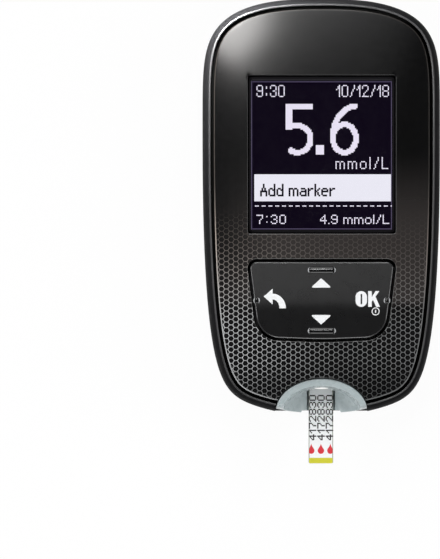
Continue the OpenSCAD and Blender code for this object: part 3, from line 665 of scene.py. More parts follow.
finish_of = {
    "shell_black": shell_finish(),
    "back_black": moulded("dark back plastic", rgb(19, 19, 21), rgb(26, 26, 28), 0.5, 0.012, 5200, 0.2),
    "face_gloss": face_finish(),
    "window_clear": pane_finish(),
    "screen": moulded("display glass", rgb(20, 16, 28), rgb(26, 22, 35), 0.3, 0.001, 4000, 0.3),
    "white_plastic": moulded("white plastic", rgb(222, 222, 218), rgb(236, 236, 233), 0.45),
    "flex_amber": moulded("amber film", rgb(176, 108, 34), rgb(198, 130, 52), 0.32, 0.004),
    "pad_black": pad_finish(),
    "silicone": moulded("grey silicone", rgb(150, 150, 146), rgb(170, 170, 165), 0.62),
    "steel": metal("spring steel", rgb(178, 180, 184), rgb(205, 207, 210), 0.28),
    "board_green": board_finish(),
    "chip_black": moulded("chip resin", rgb(26, 26, 28), rgb(36, 36, 38), 0.58, 0.006),
    "contact_gold": metal("gold plate", rgb(196, 156, 84), rgb(222, 184, 112), 0.24),
    "port_grey": bezel_finish(),
    "light_white": glow("port lamp", (1.0, 1.0, 0.98, 1), 1.0, 0.85, PORT_Y + 4.8 + STRIP_OUT / 2),
    "strip_white": strip_finish(),
    "cell_steel": metal("battery steel", rgb(188, 190, 192), rgb(214, 215, 217), 0.3),
}
extra = {
    "mark": moulded("printed mark", rgb(236, 238, 240), rgb(246, 247, 248), 0.5, 0.001),
    "edge": moulded("pad edge with painted highlight", rgb(40, 40, 41), rgb(46, 46, 47), 0.24, 0.0005, 9000, 0.85, 0.01),
    "ridge": moulded("glossy ridge with painted highlight", rgb(46, 46, 47), rgb(52, 52, 53), 0.34, 0.001, 9000, 0.62, 0.01),
    "joint": moulded("joint in painted shadow", rgb(3, 3, 3), rgb(5, 5, 5), 0.7, 0.002, 9000, 0.02),
    "pip": moulded("polished pip", rgb(7, 7, 8), rgb(9, 9, 10), 0.14, 0.0001, 9000, 0.5, 0.005),
    "pane back": underside_finish(),
    "opening wall": moulded("bare plate wall", rgb(5, 5, 6), rgb(8, 8, 9), 0.3, 0.001, 9000, 0.4, 0.02),
    "button": moulded("side button plastic", rgb(44, 44, 46), rgb(52, 52, 54), 0.42, 0.004, 9000, 0.5),
    "pip end": moulded("pip end painted highlight", rgb(186, 188, 190), rgb(200, 202, 204), 0.3, 0.0001),
    "figure": glow("display figure", rgb(232, 226, 241), 1.12, 0.95),
    "word": glow("display word", rgb(236, 231, 246), 1.5, 0.95),
    "bar": glow("display bar", rgb(238, 237, 246), 1.07, 0.97),
    "ground": glow("display ground", rgb(11, 4, 21), 1.0, 0.9),
    "line": glow("display frame line", rgb(86, 78, 104), 1.0),
    "ink": moulded("strip ink", rgb(40, 36, 36), rgb(58, 54, 54), 0.5, 0.001),
    "drop": moulded("strip drop", rgb(214, 48, 58), rgb(226, 66, 74), 0.4, 0.001),
    "tip": moulded("strip tip", rgb(206, 202, 48), rgb(220, 216, 62), 0.45, 0.002),
}
finish_of = {slot: f.material for slot, f in finish_of.items()}
extra = {title: f.material for title, f in extra.items()}


# ---- housing forms ----

BASE = outline()


def base_ring(inward, z):
    """The housing's outline, moved in and laid at a height."""
    return at_height(inset(BASE, inward), z)


def front_roll(t):
    s = sind(t)
    return RIM_IN * (1 - cosd(t)), SPLIT_Z + (RIM_Z - SPLIT_Z) * s ** ROLL_BULGE


def back_step(t):
    s = sind(t)
    return BACK_ROLL * (1 - cosd(t)), SPLIT_Z * (1 - s ** 0.833)


def roll_rings(base, steps):
    return [at_height(inset(base, front_roll(t)[0]), front_roll(t)[1]) for t in steps]


def taken(thing):
    """The mesh of a piece, and the piece is removed."""
    bm = bmesh.new()
    bm.from_mesh(thing.data)
    mesh = thing.data
    bpy.data.objects.remove(thing)
    bpy.data.meshes.remove(mesh)
    return bm


def port_block(out, top=RIM_Z + 1, round_top=0.0):
    """The half oval that the bezel fills, moved out by out, with a round belly below the parting line."""
    shape = [at_height(oval(PORT_A + out, PORT_B + out, PORT_Y), PORT_Z - 1)]
    for t in (0, 22, 45, 68, 90) if round_top else (0,):
        c, s = cosd(t), sind(t)
        inner = out - round_top * (1 - c)
        shape.append(at_height(oval(PORT_A + inner, PORT_B + inner, PORT_Y), top - round_top * (1 - s)))
    low = SPLIT_Z - PORT_Z + out
    wide = PORT_A + out
    belly = [(wide * cosd(t), SPLIT_Z + low * sind(t))
             for t in (180 + 7.2 * k for k in range(26))] + [(wide, RIM_Z + 2), (-wide, RIM_Z + 2)]
    near, away = PORT_Y - PORT_B - 1, PORT_Y + PORT_B + 1
    trough = skin([[Vector((x, y, z)) for x, z in belly] for y in (near, away)])
    return taken(carve(piece("port block", skin(shape)), [trough], "INTERSECT"))


def usb_outline(out):
    return [(x * (7.5 + 2 * out), z * (2.4 + 2 * out))
            for x, z in ((-0.5, 0.5), (-0.5, -0.05), (-0.36, -0.5), (0.36, -0.5), (0.5, -0.05), (0.5, 0.5))]


def usb_cut(out, depth):
    points = usb_outline(out)
    return skin([[Vector((x, y, USB_Z + z)) for x, z in points] for y in (TOP_Y + 1, TOP_Y - depth)])


def front_shell():
    edge = [base_ring(TONGUE_IN, SPLIT_Z - 0.7), base_ring(TONGUE_IN, SPLIT_Z),
            base_ring(0.1, SPLIT_Z), at_height(BASE, SPLIT_Z + 0.1)]
    roll = roll_rings(BASE, (2, 4, 7, 11, 16, 22, 29, 36, 43, 50, 57, 64, 71, 78, 84, 90))
    crest = [base_ring(RIM_IN + d, RIM_Z - drop)
             for d, drop in ((0.07, 0.01), (0.13, 0.045), (0.18, 0.11), (0.22, 0.2), (0.25, 0.4))]
    whole = piece("front", skin(edge + roll + crest + [base_ring(GROOVE_IN, DECK_Z)]))
    cavity = skin([base_ring(WALL, SPLIT_Z - 1.7), base_ring(WALL, SPLIT_Z + 1),
                   base_ring(WALL + 0.35, DECK_UNDER)])
    carve(whole, [cavity])
    carve(whole, [posts(BOSSES, BOSS_R, BOARD_TOP, DECK_UNDER + 0.75)], "UNION")
    view = round_rect(VIEW[0], VIEW[1], 0.25, (0, WINDOW_Y))
    tail_y = WINDOW_Y - VIEW[1] / 2
    carve(whole, [
        prism(view, DECK_UNDER - 1, DECK_Z + 1),
        block((-7.1, tail_y - 0.4, DECK_UNDER - 1), (7.1, tail_y + 1, 16.4)),
        prism(pad_outline(-PAD_GAP), DECK_UNDER - 1, DECK_Z + 1),
        prism(pad_outline(-PAD_GAP - 0.9), DECK_UNDER - 1, DECK_Z - 0.8),
        port_block(PORT_GAP),
        usb_cut(0.3, 6),
        posts(BOSSES, 0.85, 9.2, 16.2),
    ])
    shell = settle(whole, "front shell", "housing", "shell_black", ("front_cover",))
    inward = lambda place, face: face.x * place.x + face.y * place.y < 0
    # The rim's crest takes a lighter, glossier finish: a painted highlight together with its real gloss.
    tint(shell, "ridge", lambda place, face: place.z > (18.3 if inward(place, face) else 18.57))
    # The groove's walls and floor, and the deck under the plate, get a near-black finish: painted shade.
    tint(shell, "joint", lambda place, face: 16.5 < place.z <= 18.3 and (inward(place, face) or face.z > 0.9))


def bay_outline(r):
    return arc((0, CELL_UP), r, 0, 180, 40) + arc((0, CELL_LOW), r, 180, 360, 40)


def door_outline(out, rise=0.0):
    x, top, low = DOOR_W / 2 + out, HINGE_Y + rise, DOOR_END - out
    return ([(x, top), (-x, top)] + arc((-x + 6, low + 6), 6, 180, 270, 14)
            + arc((x - 6, low + 6), 6, 270, 360, 14))


def back_shell():
    steps = (90, 84, 78, 72, 66, 60, 54, 48, 42, 36, 30, 24, 18, 13, 8, 4, 1.5)
    rings = [at_height(outline(back_step(t)[0]), back_step(t)[1]) for t in steps]
    rings += [at_height(BASE, SPLIT_Z - 0.1), base_ring(0.1, SPLIT_Z)]
    whole = piece("back", skin(rings))
    rebate = SPLIT_Z - 0.8
    inner = [at_height(outline(back_step(t)[0] + WALL * cosd(t)),
                       back_step(t)[1] + 1.7 * sind(t))
             for t in (90, 78, 67, 55, 42, 28, 14)]
    inner += [base_ring(WALL, rebate), base_ring(TONGUE_IN - 0.1, rebate),
              base_ring(TONGUE_IN - 0.1, SPLIT_Z + 1)]
    carve(whole, [skin(inner)])
    carve(whole, [
        prism(door_outline(1.5, 1.5), FLOOR_IN, 2.9),
        prism(bay_outline(BAY_R + 1.2), FLOOR_IN, BAY_Z + 0.8),
        posts(BOSSES, BOSS_R, 3.2, 12.15),
        posts([LEVER_PIN], 2.1, FLOOR_IN, 7.2),
        block((10.8, -19.59, FLOOR_IN), (11.8, -16.39, 9.15)),
        rod(0.63, 1.3, (12.35, -17.99, BUTTON_Z), "X"),
    ], "UNION")
    gap = 0.25
    carve(whole, [
        prism(bay_outline(BAY_R), -1, BAY_Z),
        prism(door_outline(gap), -1, 1.7),
        rod(DOOR_T / 2 + 0.15, DOOR_W + 2 * gap, (0, HINGE_Y, HINGE_Z), "X"),
        block((-DOOR_W / 2 - gap, HINGE_Y - DOOR_T / 2, -1),
              (DOOR_W / 2 + gap, HINGE_Y + DOOR_T / 2 + 2 * gap, HINGE_Z)),
        rod(0.5, DOOR_W + 2.4 + 4 * gap, (0, HINGE_Y, HINGE_Z), "X"),
        ball(9.6, (0, DOOR_END, -8.6)),
        posts(BOSSES, 1.6, -1, 6, 40),
        posts(BOSSES, 0.9, 5.4, 13.4, 32),
        posts([LEVER_PIN], 0.77, 2.9, 8.9),
        block((FLANGE_X - 1, BUTTON_Y - BUTTON_L / 2 - 0.15, BUTTON_Z - BUTTON_H / 2 - 0.15),
              (BODY_W, BUTTON_Y + BUTTON_L / 2 + 0.15, BUTTON_Z + BUTTON_H / 2 + 0.15)),
        port_block(PORT_GAP),
        join([block((1.4, y - 0.3, BAY_Z - 1), (5.6, y + 0.3, BAY_Z + 1.8))
              for y in (CELL_UP + 6, CELL_LOW - 6)]),
    ])
    settle(whole, "back shell", "housing", "back_black", ("rear_cover",))


def ball(radius, centre, segments=96):
    bm = bmesh.new()
    bmesh.ops.create_uvsphere(bm, u_segments=segments, v_segments=segments // 2, radius=radius,
                              matrix=Matrix.Translation(centre))
    return bm


# ---- face plate and window ----

FACE = inset(BASE, PLATE_IN + 0.2)
FACE_MID = Vector((0, (FACE[0][1] + FACE[2 * QUARTER][1]) / 2))


def face_share(x, y):
    """How far out a point lies between the face's middle, 0, and its edge, 1."""
    way = Vector((x, y)) - FACE_MID
    if way.length < 1e-6:
        return 0.0
    for i, start in enumerate(FACE):
        a = Vector(start) - FACE_MID
        b = Vector(FACE[(i + 1) % len(FACE)]) - FACE_MID
        turn = a.cross(b)
        s, t = way.cross(b) / turn, a.cross(way) / turn
        if s >= -1e-9 and t >= -1e-9:
            return s + t
    return 1.0


def face_height(x, y):
    return EDGE_Z + CROWN * (1 - min(1.0, face_share(x, y)) ** 3)


def mouth(points, radius, low=DECK_Z - 1):
    """A cutter whose last rings flare out over the crowned face and round the opening's edge."""
    rings = [at_height(points, low)]
    for t in (0, 18, 36, 54, 72, 90):
        wide = inset(points, -radius * (1 - cosd(t)))
        drop = radius * (1 - sind(t))
        rings.append([Vector((x, y, face_height(x, y) - drop)) for x, y in wide])
    wide = inset(points, -radius * 1.05)
    rings.append([Vector((x, y, face_height(x, y) + 0.6)) for x, y in wide])
    return skin(rings)


def face_panel():
    rings = [base_ring(PLATE_IN, DECK_Z + 0.05), base_ring(PLATE_IN, EDGE_Z - 0.2)]
    rings += [base_ring(PLATE_IN + 0.2 * (1 - cosd(t)),
                        EDGE_Z - 0.2 * (1 - sind(t))) for t in (20, 42, 65)]
    for f in [1, 0.985] + [0.965 - 0.03 * k for k in range(20)] + [0.36, 0.26, 0.16, 0.05]:
        rings.append([Vector((FACE_MID.x + f * (x - FACE_MID.x), FACE_MID.y + f * (y - FACE_MID.y),
                              EDGE_Z + CROWN * (1 - f ** 3))) for x, y in FACE])
    whole = piece("face", skin(rings))
    carve(whole, [
        mouth(round_rect(WINDOW[0], WINDOW[1], 0.5, (0, WINDOW_Y)), 0.15),
        mouth(pad_outline(-PAD_GAP), 0.2),
        mouth(oval(PORT_A + PORT_GAP, PORT_B + PORT_GAP, PORT_Y), 0.08),
    ])
    plate = settle(whole, "face panel", "housing", "face_gloss", ("face_plate",), angle=12)
    tint(plate, "opening wall", lambda place, face: face.z < 0.6 and (
        abs(place.x) < WINDOW[0] / 2 + 0.3 and abs(place.y) < 26.2
        or abs(place.x) < PORT_A + 0.5 and place.y < PORT_Y + PORT_B + 0.5
        and face.y * (place.y - PORT_Y) <= 0))


def window_pane():
    w, h = WINDOW[0] - 0.44, WINDOW[1] - 0.44
    rings = [at_height(round_rect(w - 0.1, h - 0.1, 0.45, (0, WINDOW_Y)), DECK_Z + 0.05),
             at_height(round_rect(w, h, 0.5, (0, WINDOW_Y)), DECK_Z + 0.12)]
    for d, z in ((0, 0.93), (0.06, 1.0), (0.45, 1.28), (0.55, 1.335), (0.7, 1.35)):
        rings.append(at_height(round_rect(w - 2 * d, h - 2 * d, 0.5 - 0.35 * d, (0, WINDOW_Y)), DECK_Z + z))
    pane = settle(piece("pane", skin(rings)), "window pane", "housing", "window_clear", ("display_window",),
                  angle=18)
    tint(pane, "pane back", lambda place, face: face.z < -0.5)


# ---- key pad ----

def pad_rise(y):
    return PAD_Z - 0.06 * (math.sqrt((y - PAD_MID + PAD_CREASE) ** 2 + 1) - 1)


def on_pad(points, lift):
    return [Vector((x, y, pad_rise(y) + lift)) for x, y in points]


def pad_bevel(t):
    """The pad's rounded edge at an angle: how far in, and how high."""
    return 0.36 * (1 - cosd(t)), -0.34 * (1 - sind(t))


def key_pad_top():
    rings = [at_height(pad_outline(0), PAD_FLANGE_Z)]
    rings += [on_pad(pad_outline(0), -0.45)]
    rings += [on_pad(pad_outline(pad_bevel(t)[0]), pad_bevel(t)[1]) for t in (8, 24, 40, 56, 73, 90)]
    body = skin(rings)
    shown = [max(body.faces, key=lambda face: (len(face.verts), face.calc_center_median().z))]
    for away in (-6, -4.4, -3.2, -2.3, -1.6, -1.1, -0.7, -0.35, 0,
                 0.35, 0.7, 1.1, 1.6, 2.3, 3.2, 4.4, 6, 7.6):
        parts = set(shown)
        for face in shown:
            parts.update(face.verts, face.edges)
        cut = bmesh.ops.bisect_plane(body, geom=list(parts), plane_no=(0, 1, 0),
                                     plane_co=(0, PAD_MID - PAD_CREASE + away, 0), dist=0.0001)["geom"]
        shown = [item for item in cut if isinstance(item, bmesh.types.BMFace)]
    for vert in {vert for face in shown for vert in face.verts}:
        vert.co.z = pad_rise(vert.co.y)
    whole = piece("pad", body)
    keys = [(x, PAD_MID + y) for x, y in ((0, KEY_Y), (0, -KEY_Y), (KEY_X, 0), (-KEY_X, 0))]
    top = PAD_Z - 1
    carve(whole, [prism(pad_outline(PAD_WALL), PAD_FLANGE_Z - 1, PAD_Z - 2)])
    carve(whole, [prism(pad_outline(-0.65), PAD_FLANGE_Z, PAD_FLANGE_Z + 0.6),
                  join([posts(keys, PLUNGER_R, PLUNGER_Z, top), posts([(0, PAD_MID)], 2.7, 16.5, top)])],
          "UNION")
    carve(whole, [prism(pad_outline(PAD_WALL), PAD_FLANGE_Z - 1, PAD_FLANGE_Z + 0.7),
                  posts([(0, PAD_MID)], 1.85, 14.9, 17.71)])
    settle(whole, "key pad top", "key_pad", "pad_black", ("keypad",), angle=24)


def pips():
    """Raised marks for the fingertip."""
    parts = []
    for x, y, w in ((0, PIP_Y, 5.4), (0, -PIP_Y, 5.4), (-PIP_X, 0, 1.3), (PIP_X, 0, 1.3)):
        rings = []
        for t in (-90, 0, 25, 45, 60, 73, 84, 90):
            r = max(0.06, 0.65 * cosd(max(t, 0)))
            flat = round_rect(w - 1.3 + 2 * r, 2 * r, r * 0.999, (x, PAD_MID + y), 8)
            lift = -0.3 if t < 0 else 0.35 * sind(t)
            rings.append([Vector((px, py, pad_rise(PAD_MID + y) + lift)) for px, py in flat])
        parts.append(skin(rings))
    marks = settle(piece("pips", join(parts)), "finger pips", "key_pad", "pad_black", angle=50, finish="pip")
    # Pip faces that turn steeply to either side take a near-white finish: a painted highlight at the pips'
    # ends.
    tint(marks, "pip end", lambda place, face: abs(face.x) > 0.42 and 0.25 < face.z < 0.93)


def symbol(points, lift=0.03):
    """A print that follows the pad's top."""
    return skin([on_pad(points, -0.1), on_pad(points, lift)])


def rounded(corners, radius, steps=4):
    """A polygon with each corner rounded; corners run counterclockwise."""
    points = []
    for i, here in enumerate(corners):
        p = Vector(here)
        a = (Vector(corners[i - 1]) - p).normalized()
        b = (Vector(corners[(i + 1) % len(corners)]) - p).normalized()
        half = math.acos(max(-1, min(1, a.dot(b)))) / 2
        reach = radius / math.tan(half)
        start, end = p + a * reach, p + b * reach
        for k in range(steps + 1):
            t = k / steps
            points.append(tuple((1 - t) ** 2 * start + 2 * t * (1 - t) * p + t * t * end))
    return points


def pad_symbols():
    prints = [symbol(rounded([(-2.12, -15.5), (1.89, -15.5), (-0.13, -13.68)], 0.2)),
              symbol(rounded([(-2.16, -20.76), (-0.13, -22.6), (1.9, -20.76)], 0.2))]
    tail = bend(-9.47, -19.48, 2.56, 2.82, 90, 0, 14) + bend(-9.47, -19.48, 1.31, 1.72, 0, 90, 14)
    prints.append(symbol([(-9.47, -15.7), (-11.19, -17.21), (-9.47, -18.73), *reversed(tail)]))
    letter_o = symbol(round_rect(2.2, 3.04, 1.1, (7.6, -17.68), 8))
    prints.append(taken(carve(piece("o", letter_o), [taller(round_rect(0.3, 2.0, 0.15, (7.62, -17.7)))])))
    prints.append(symbol([(8.92, -19.2), (9.62, -19.2), (9.62, -18.2), (9.86, -17.86), (10.46, -19.2),
                          (11.2, -19.2), (10.34, -17.24), (11.08, -16.16), (10.36, -16.16), (9.62, -17.3),
                          (9.62, -16.16), (8.92, -16.16)]))
    settle(piece("symbols", join(prints)), "pad symbols", "key_pad", "pad_black", angle=50, finish="mark")
    outer, inner = (arc((10.36, -20.07), r, 0, 350, 35) for r in (0.77, 0.6))
    power = join([taken(carve(piece("ring", symbol(outer)), [taller(inner)])),
                  symbol(round_rect(0.2, 0.62, 0.09, (10.36, -20.07)))])
    settle(piece("power", power), "power symbol", "key_pad", "pad_black", angle=50, finish="mark")
    # A thin ring in a lighter grey follows the pad's rounded edge. It is a painted highlight added to the
    # edge's real gloss.
    bow = [pad_bevel(t) for t in (42, 52, 63, 75, 87)]
    rings = [on_pad(pad_outline(inward), lift + 0.012) for inward, lift in bow]
    rings = [on_pad(pad_outline(bow[0][0]), -0.3), *rings, on_pad(pad_outline(bow[-1][0]), -0.3)]
    settle(piece("line", skin(rings + rings[:1], cap=False)), "pad edge with painted highlight line", "key_pad", "pad_black",
           angle=60, finish="edge")


def taller(points):
    return prism(points, PAD_Z - 2, PAD_Z + 1)


# ---- port ----

SCOOP = ((2.9, 4.35, 1.6), (4.2, 4.37, 2.2), (5.5, 4.4, 3.2), (6.5, 4.5, 4.7), (7.1, 4.65, 6.2),
         (7.35, 4.75, 7.2), (7.45, 4.82, 8.2), (7.52, 4.88, 8.72), (7.62, 4.98, 8.88), (7.9, 5.26, 9.2),
         (7.9, 5.26, 10))
SCOOP_Y = PORT_Y + SCOOP[0][1]


def port_bezel():
    whole = piece("bezel", port_block(0, RIM_Z, 0.22))
    base = outline(SETBACK)
    hull = [at_height(outline(SETBACK + back_step(t)[0]), back_step(t)[1]) for t in (55, 42, 28, 20, 14, 7)]
    hull += roll_rings(base, (0, 6, 12, 18, 26, 35, 43, 50, 57, 64, 71, 78, 84, 90))
    hull += [at_height(inset(base, RIM_IN), RIM_Z + 0.5)]
    carve(whole, [skin(hull)], "INTERSECT")
    notch = [(-4.25, END_Y - 2), (4.25, END_Y - 2), (4.25, END_Y), (3.65, END_Y + 1.1), (-3.65, END_Y + 1.1),
             (-4.25, END_Y)]
    rings = [at_height(oval(a, b, PORT_Y), SLOT_Z + z) for a, b, z in SCOOP]
    half = STRIP_W / 2
    carve(whole, [
        prism(notch, PORT_Z - 0.6, RIM_Z + 0.7),
        skin(rings),
        block((-CHANNEL_W / 2, END_Y - 1, SLOT_Z), (CHANNEL_W / 2, SCOOP_Y, 12.9)),
        join([block((x - 0.17, END_Y - 1, SLOT_Z - 2), (x + 0.17, SCOOP_Y - 0.3, SLOT_Z + 0.1))
              for x in (-CHANNEL_W / 2 + 0.17, CHANNEL_W / 2 - 0.17)]),
        block((-half - 0.2, END_Y, SLOT_Z), (half + 0.2, PORT_Y + PORT_B + 1, SLOT_Z + 0.85)),
        block((-1.55, SCOOP_Y - 1, 13.05), (1.55, PORT_Y + PORT_B + 1, 14.35)),
    ])
    settle(whole, "port bezel moulding", "housing", "port_grey", ("port_bezel",))


def port_lamp():
    """The light pipe with a domed end over the slot."""
    face = SCOOP_Y + 0.12
    body = soften(block((-1.5, face, 13.1), (1.5, PORT_Y + PORT_B + 0.8, 14.3)), 0.1)
    dome = ball(1.0, (0, 0, 0), 32)
    bmesh.ops.scale(dome, verts=dome.verts, vec=(1.48, 0.3, 0.58))
    bmesh.ops.translate(dome, verts=dome.verts, vec=(0, face + 0.02, 13.7))
    settle(carve(piece("lamp", body), [dome], "UNION"), "port lamp", "housing", "light_white",
           ("port_light",))


def strip():
    half, near = STRIP_W / 2, END_Y - STRIP_OUT
    flat = round_rect(STRIP_W, STRIP_END - near, 0.35, (0, (STRIP_END + near) / 2))
    rings = [at_height(inset(flat, 0.05), STRIP_Z), at_height(flat, STRIP_Z + 0.06),
             at_height(flat, STRIP_Z + STRIP_T - 0.09),
             at_height(inset(flat, 0.05), STRIP_Z + STRIP_T - 0.03)]
    settle(piece("strip", skin(rings)), "test strip card", "strip", "strip_white", ("test_strip",))
    top = STRIP_Z + STRIP_T
    tip = rounded([(-half + 0.1, near + 0.06), (half - 0.1, near + 0.06), (half - 0.1, near + 1.12),
                   (-half + 0.1, near + 1.12)], 0.2)
    low, high = top - 0.05, top - 0.012
    settle(piece("tip", prism(tip, low, high)), "strip tip", "strip", "strip_white", angle=50, finish="tip")
    marks = []
    for x in (-1.62, 0.02, 1.66):
        for spot_x, spot_y in small_word("4172830", 0, 0, 1, 1.0, range(7)):
            px, py = x - 0.72 - spot_y * 0.205, END_Y - 4.75 + spot_x * 0.225
            marks.append(block((px - 0.12, py - 0.125, low), (px + 0.12, py + 0.125, high)))
    settle(piece("marks", join(marks)), "strip marks", "strip", "strip_white", angle=50, finish="ink")
    drops = []
    foot, peak, r = END_Y - 7.4, END_Y - 5.45, 0.62
    for x in (-1.88, 0, 1.84):
        drop = arc((x, foot + r), r, 150, 390, 20)
        drop += [(x + 0.16, peak - 0.45), (x, peak), (x - 0.16, peak - 0.45)]
        drops.append(prism([(max(-half + 0.1, min(half - 0.1, px)), py) for px, py in drop], low, high))
    settle(piece("drops", join(drops)), "strip drops", "strip", "strip_white", angle=50, finish="drop")


# ---- ejector button and battery door ----

def edge_x(y):
    """How far out the housing's right side is at y."""
    return min((point for point in BASE if point[0] > 0), key=lambda point: abs(point[1] - y))[0]


def ejector_button():
    low, high = BUTTON_Z - BUTTON_H / 2, BUTTON_Z + BUTTON_H / 2
    whole = piece("button", soften(block((FLANGE_X, BUTTON_Y - BUTTON_L / 2, low),
                                         (24.5, BUTTON_Y + BUTTON_L / 2, high)), 0.3, 4))
    hull = skin([base_ring(0.32, low - 0.1), base_ring(0.12, low + 0.5),
                 base_ring(0.1, BUTTON_Z), base_ring(0.12, high - 0.5),
                 base_ring(0.32, high + 0.1)])
    carve(whole, [hull], "INTERSECT")
    carve(whole, [rod(0.36, BUTTON_H + 1, (edge_x(BUTTON_Y + d), BUTTON_Y + d, BUTTON_Z), segments=24)
                  for d in (-3, -1.8, -0.6, 0.6, 1.8, 3)])
    carve(whole, [block((FLANGE_X, BUTTON_Y - BUTTON_L / 2 - 0.8, low),
                        (FLANGE_X + 1, BUTTON_Y + BUTTON_L / 2 + 0.8, high)),
                  block((14.615, -21.487, 7.1), (FLANGE_X + 0.5, -20.087, 8.7))], "UNION")
    settle(whole, "ejector key cap", "ejector_key", "shell_black", ("ejector_button",), finish="button")


def battery_door():
    rings = [at_height(inset(door_outline(0), d), z)
             for d, z in ((0.18, DOOR_LOW), (0.05, DOOR_LOW + 0.05), (0, DOOR_LOW + 0.18),
                          (0, 1.5), (0.1, 1.6))]
    whole = piece("door", skin(rings))
    carve(whole, [join([rod(DOOR_T / 2 - 0.02, DOOR_W, (0, HINGE_Y, HINGE_Z), "X")])], "UNION")
    carve(whole, [rod(0.45, DOOR_W + 2.4, (0, HINGE_Y, HINGE_Z), "X")]
          + [rod(4, 0.35, (0, y, 1.675)) for y in (CELL_UP, CELL_LOW)], "UNION")
    cuts = [block((x - 0.3, DOOR_END - 1, -1), (x + 0.3, DOOR_END + 3.6, 2.6)) for x in (-4.5, 4.5)]
    cuts += [rod(0.26, 6, (0, DOOR_END + 1 + i * 0.9, DOOR_LOW + 0.02), "X", 24) for i in range(3)]
    carve(whole, cuts)
    settle(whole, "battery door panel", "door", "back_black", ("battery_door",))


# ---- display picture ----

DOT = 0.262
SMALL = {
    "0": "01110 10001 10001 10001 10001 10001 01110", "1": "001 011 101 001 001 001 001",
    "2": "01110 10001 00001 00010 00100 01000 11111", "3": "01110 10001 00001 00110 00001 10001 01110",
    "7": "11111 00001 00001 00010 00100 00100 00100", "8": "01110 10001 10001 01110 10001 10001 01110",
    "4": "00010 00110 01010 10010 11111 00010 00010", "9": "01110 10001 10001 01111 00001 10001 01110",
    "/": "0001 0001 0010 0010 0100 0100 1000", ":": "000 010 000 000 000 010 000",
    ".": "0 0 0 0 0 0 1", " ": "00 00 00 00 00 00 00", "l": "1 1 1 1 1 1 1",
    "m": "0000000 0000000 1110110 1001001 1001001 1001001 1001001",
    "o": "00000 00000 01110 10001 10001 10001 01110", "L": "10000 10000 10000 10000 10000 10000 11111",
    "A": "00100 00100 01010 01010 11111 10001 10001", "d": "00001 00001 01101 10011 10001 10001 01111",
    "a": "00000 00000 01110 00001 01111 10001 01111", "r": "0000 0000 1011 1100 1000 1000 1000",
    "k": "1000 1000 1001 1010 1100 1010 1001", "e": "00000 00000 01110 10001 11111 10000 01110",
}
ROWS = (0, 1, 1, 2, 3, 4, 5, 5, 6)


def small_word(word, x, y, gap=1, step=DOT, tall=ROWS):
    """The places of a word's dots; x and y are its left and top."""
    spots = []
    for letter in word:
        rows = SMALL[letter].split()
        for j, row in enumerate(tall):
            spots += [(x + (i + 0.5) * step, y - (j + 0.5) * step)
                      for i, on in enumerate(rows[row]) if on == "1"]
        x += (len(rows[0]) + gap) * step
    return spots


def word_width(word, gap=1):
    return (sum(len(SMALL[letter].split()[0]) + gap for letter in word) - gap) * DOT


INK_LOW, INK_MID, INK_TOP = 16.82, 16.84, 16.86
FIVE = [(2.2, 16.2), (8.8, 16.2)] + bend(8.8, 25.9, 9.6, 9.9, -90, 120)
SIX = bend(19.5, 23.6, 17.5, 21.9, -94, -180) + bend(10.4, 25.5, 8.4, 10.4, 180, -180, 36)


def big_figure(path, boxes, left, top):
    """Dots within two dots of a path, which runs in dots to the right and down, or in a box."""
    legs = [(Vector(a), Vector(b) - Vector(a)) for a, b in zip(path, path[1:])]
    spots = []
    for i in range(22):
        for j in range(38):
            here = Vector((i + 0.5, j + 0.5))
            near = min((here - a - way * min(1, max(0, (here - a).dot(way) / way.dot(way)))).length
                       for a, way in legs)
            if near < 2.05 or any(x0 < here.x < x1 and y0 < here.y < y1 for x0, y0, x1, y1 in boxes):
                spots.append((left + (i + 0.5) * DOT, top - (j + 0.5) * DOT))
    return spots


def dots(name, spots, finish, low=INK_LOW, high=INK_TOP, size=DOT):
    bm = bmesh.new()
    for x, y in spots:
        made = bmesh.ops.create_cube(bm, size=1)["verts"]
        bmesh.ops.scale(bm, verts=made, vec=(size, size, high - low))
        bmesh.ops.translate(bm, verts=made, vec=(x, y, (low + high) / 2))
    settle(piece(name, bm), name, "housing", "screen", angle=50, clean=False, finish=finish)


def bars(name, boxes, finish, low=INK_LOW, high=16.85):
    parts = [block((x0, y0, low), (x1, y1, high)) for x0, y0, x1, y1 in boxes]
    settle(piece(name, join(parts)), name, "housing", "screen", angle=50, clean=False, finish=finish)


def across(u):
    """The middle-of-housing x of a column in the frame of 440."""
    return -19.6 + (u - 220) / 5.18 + 0.06


def down(v):
    """The middle-of-housing y of a row in the frame of 559."""
    return -13.93 - (v - 279.5) / 5.18


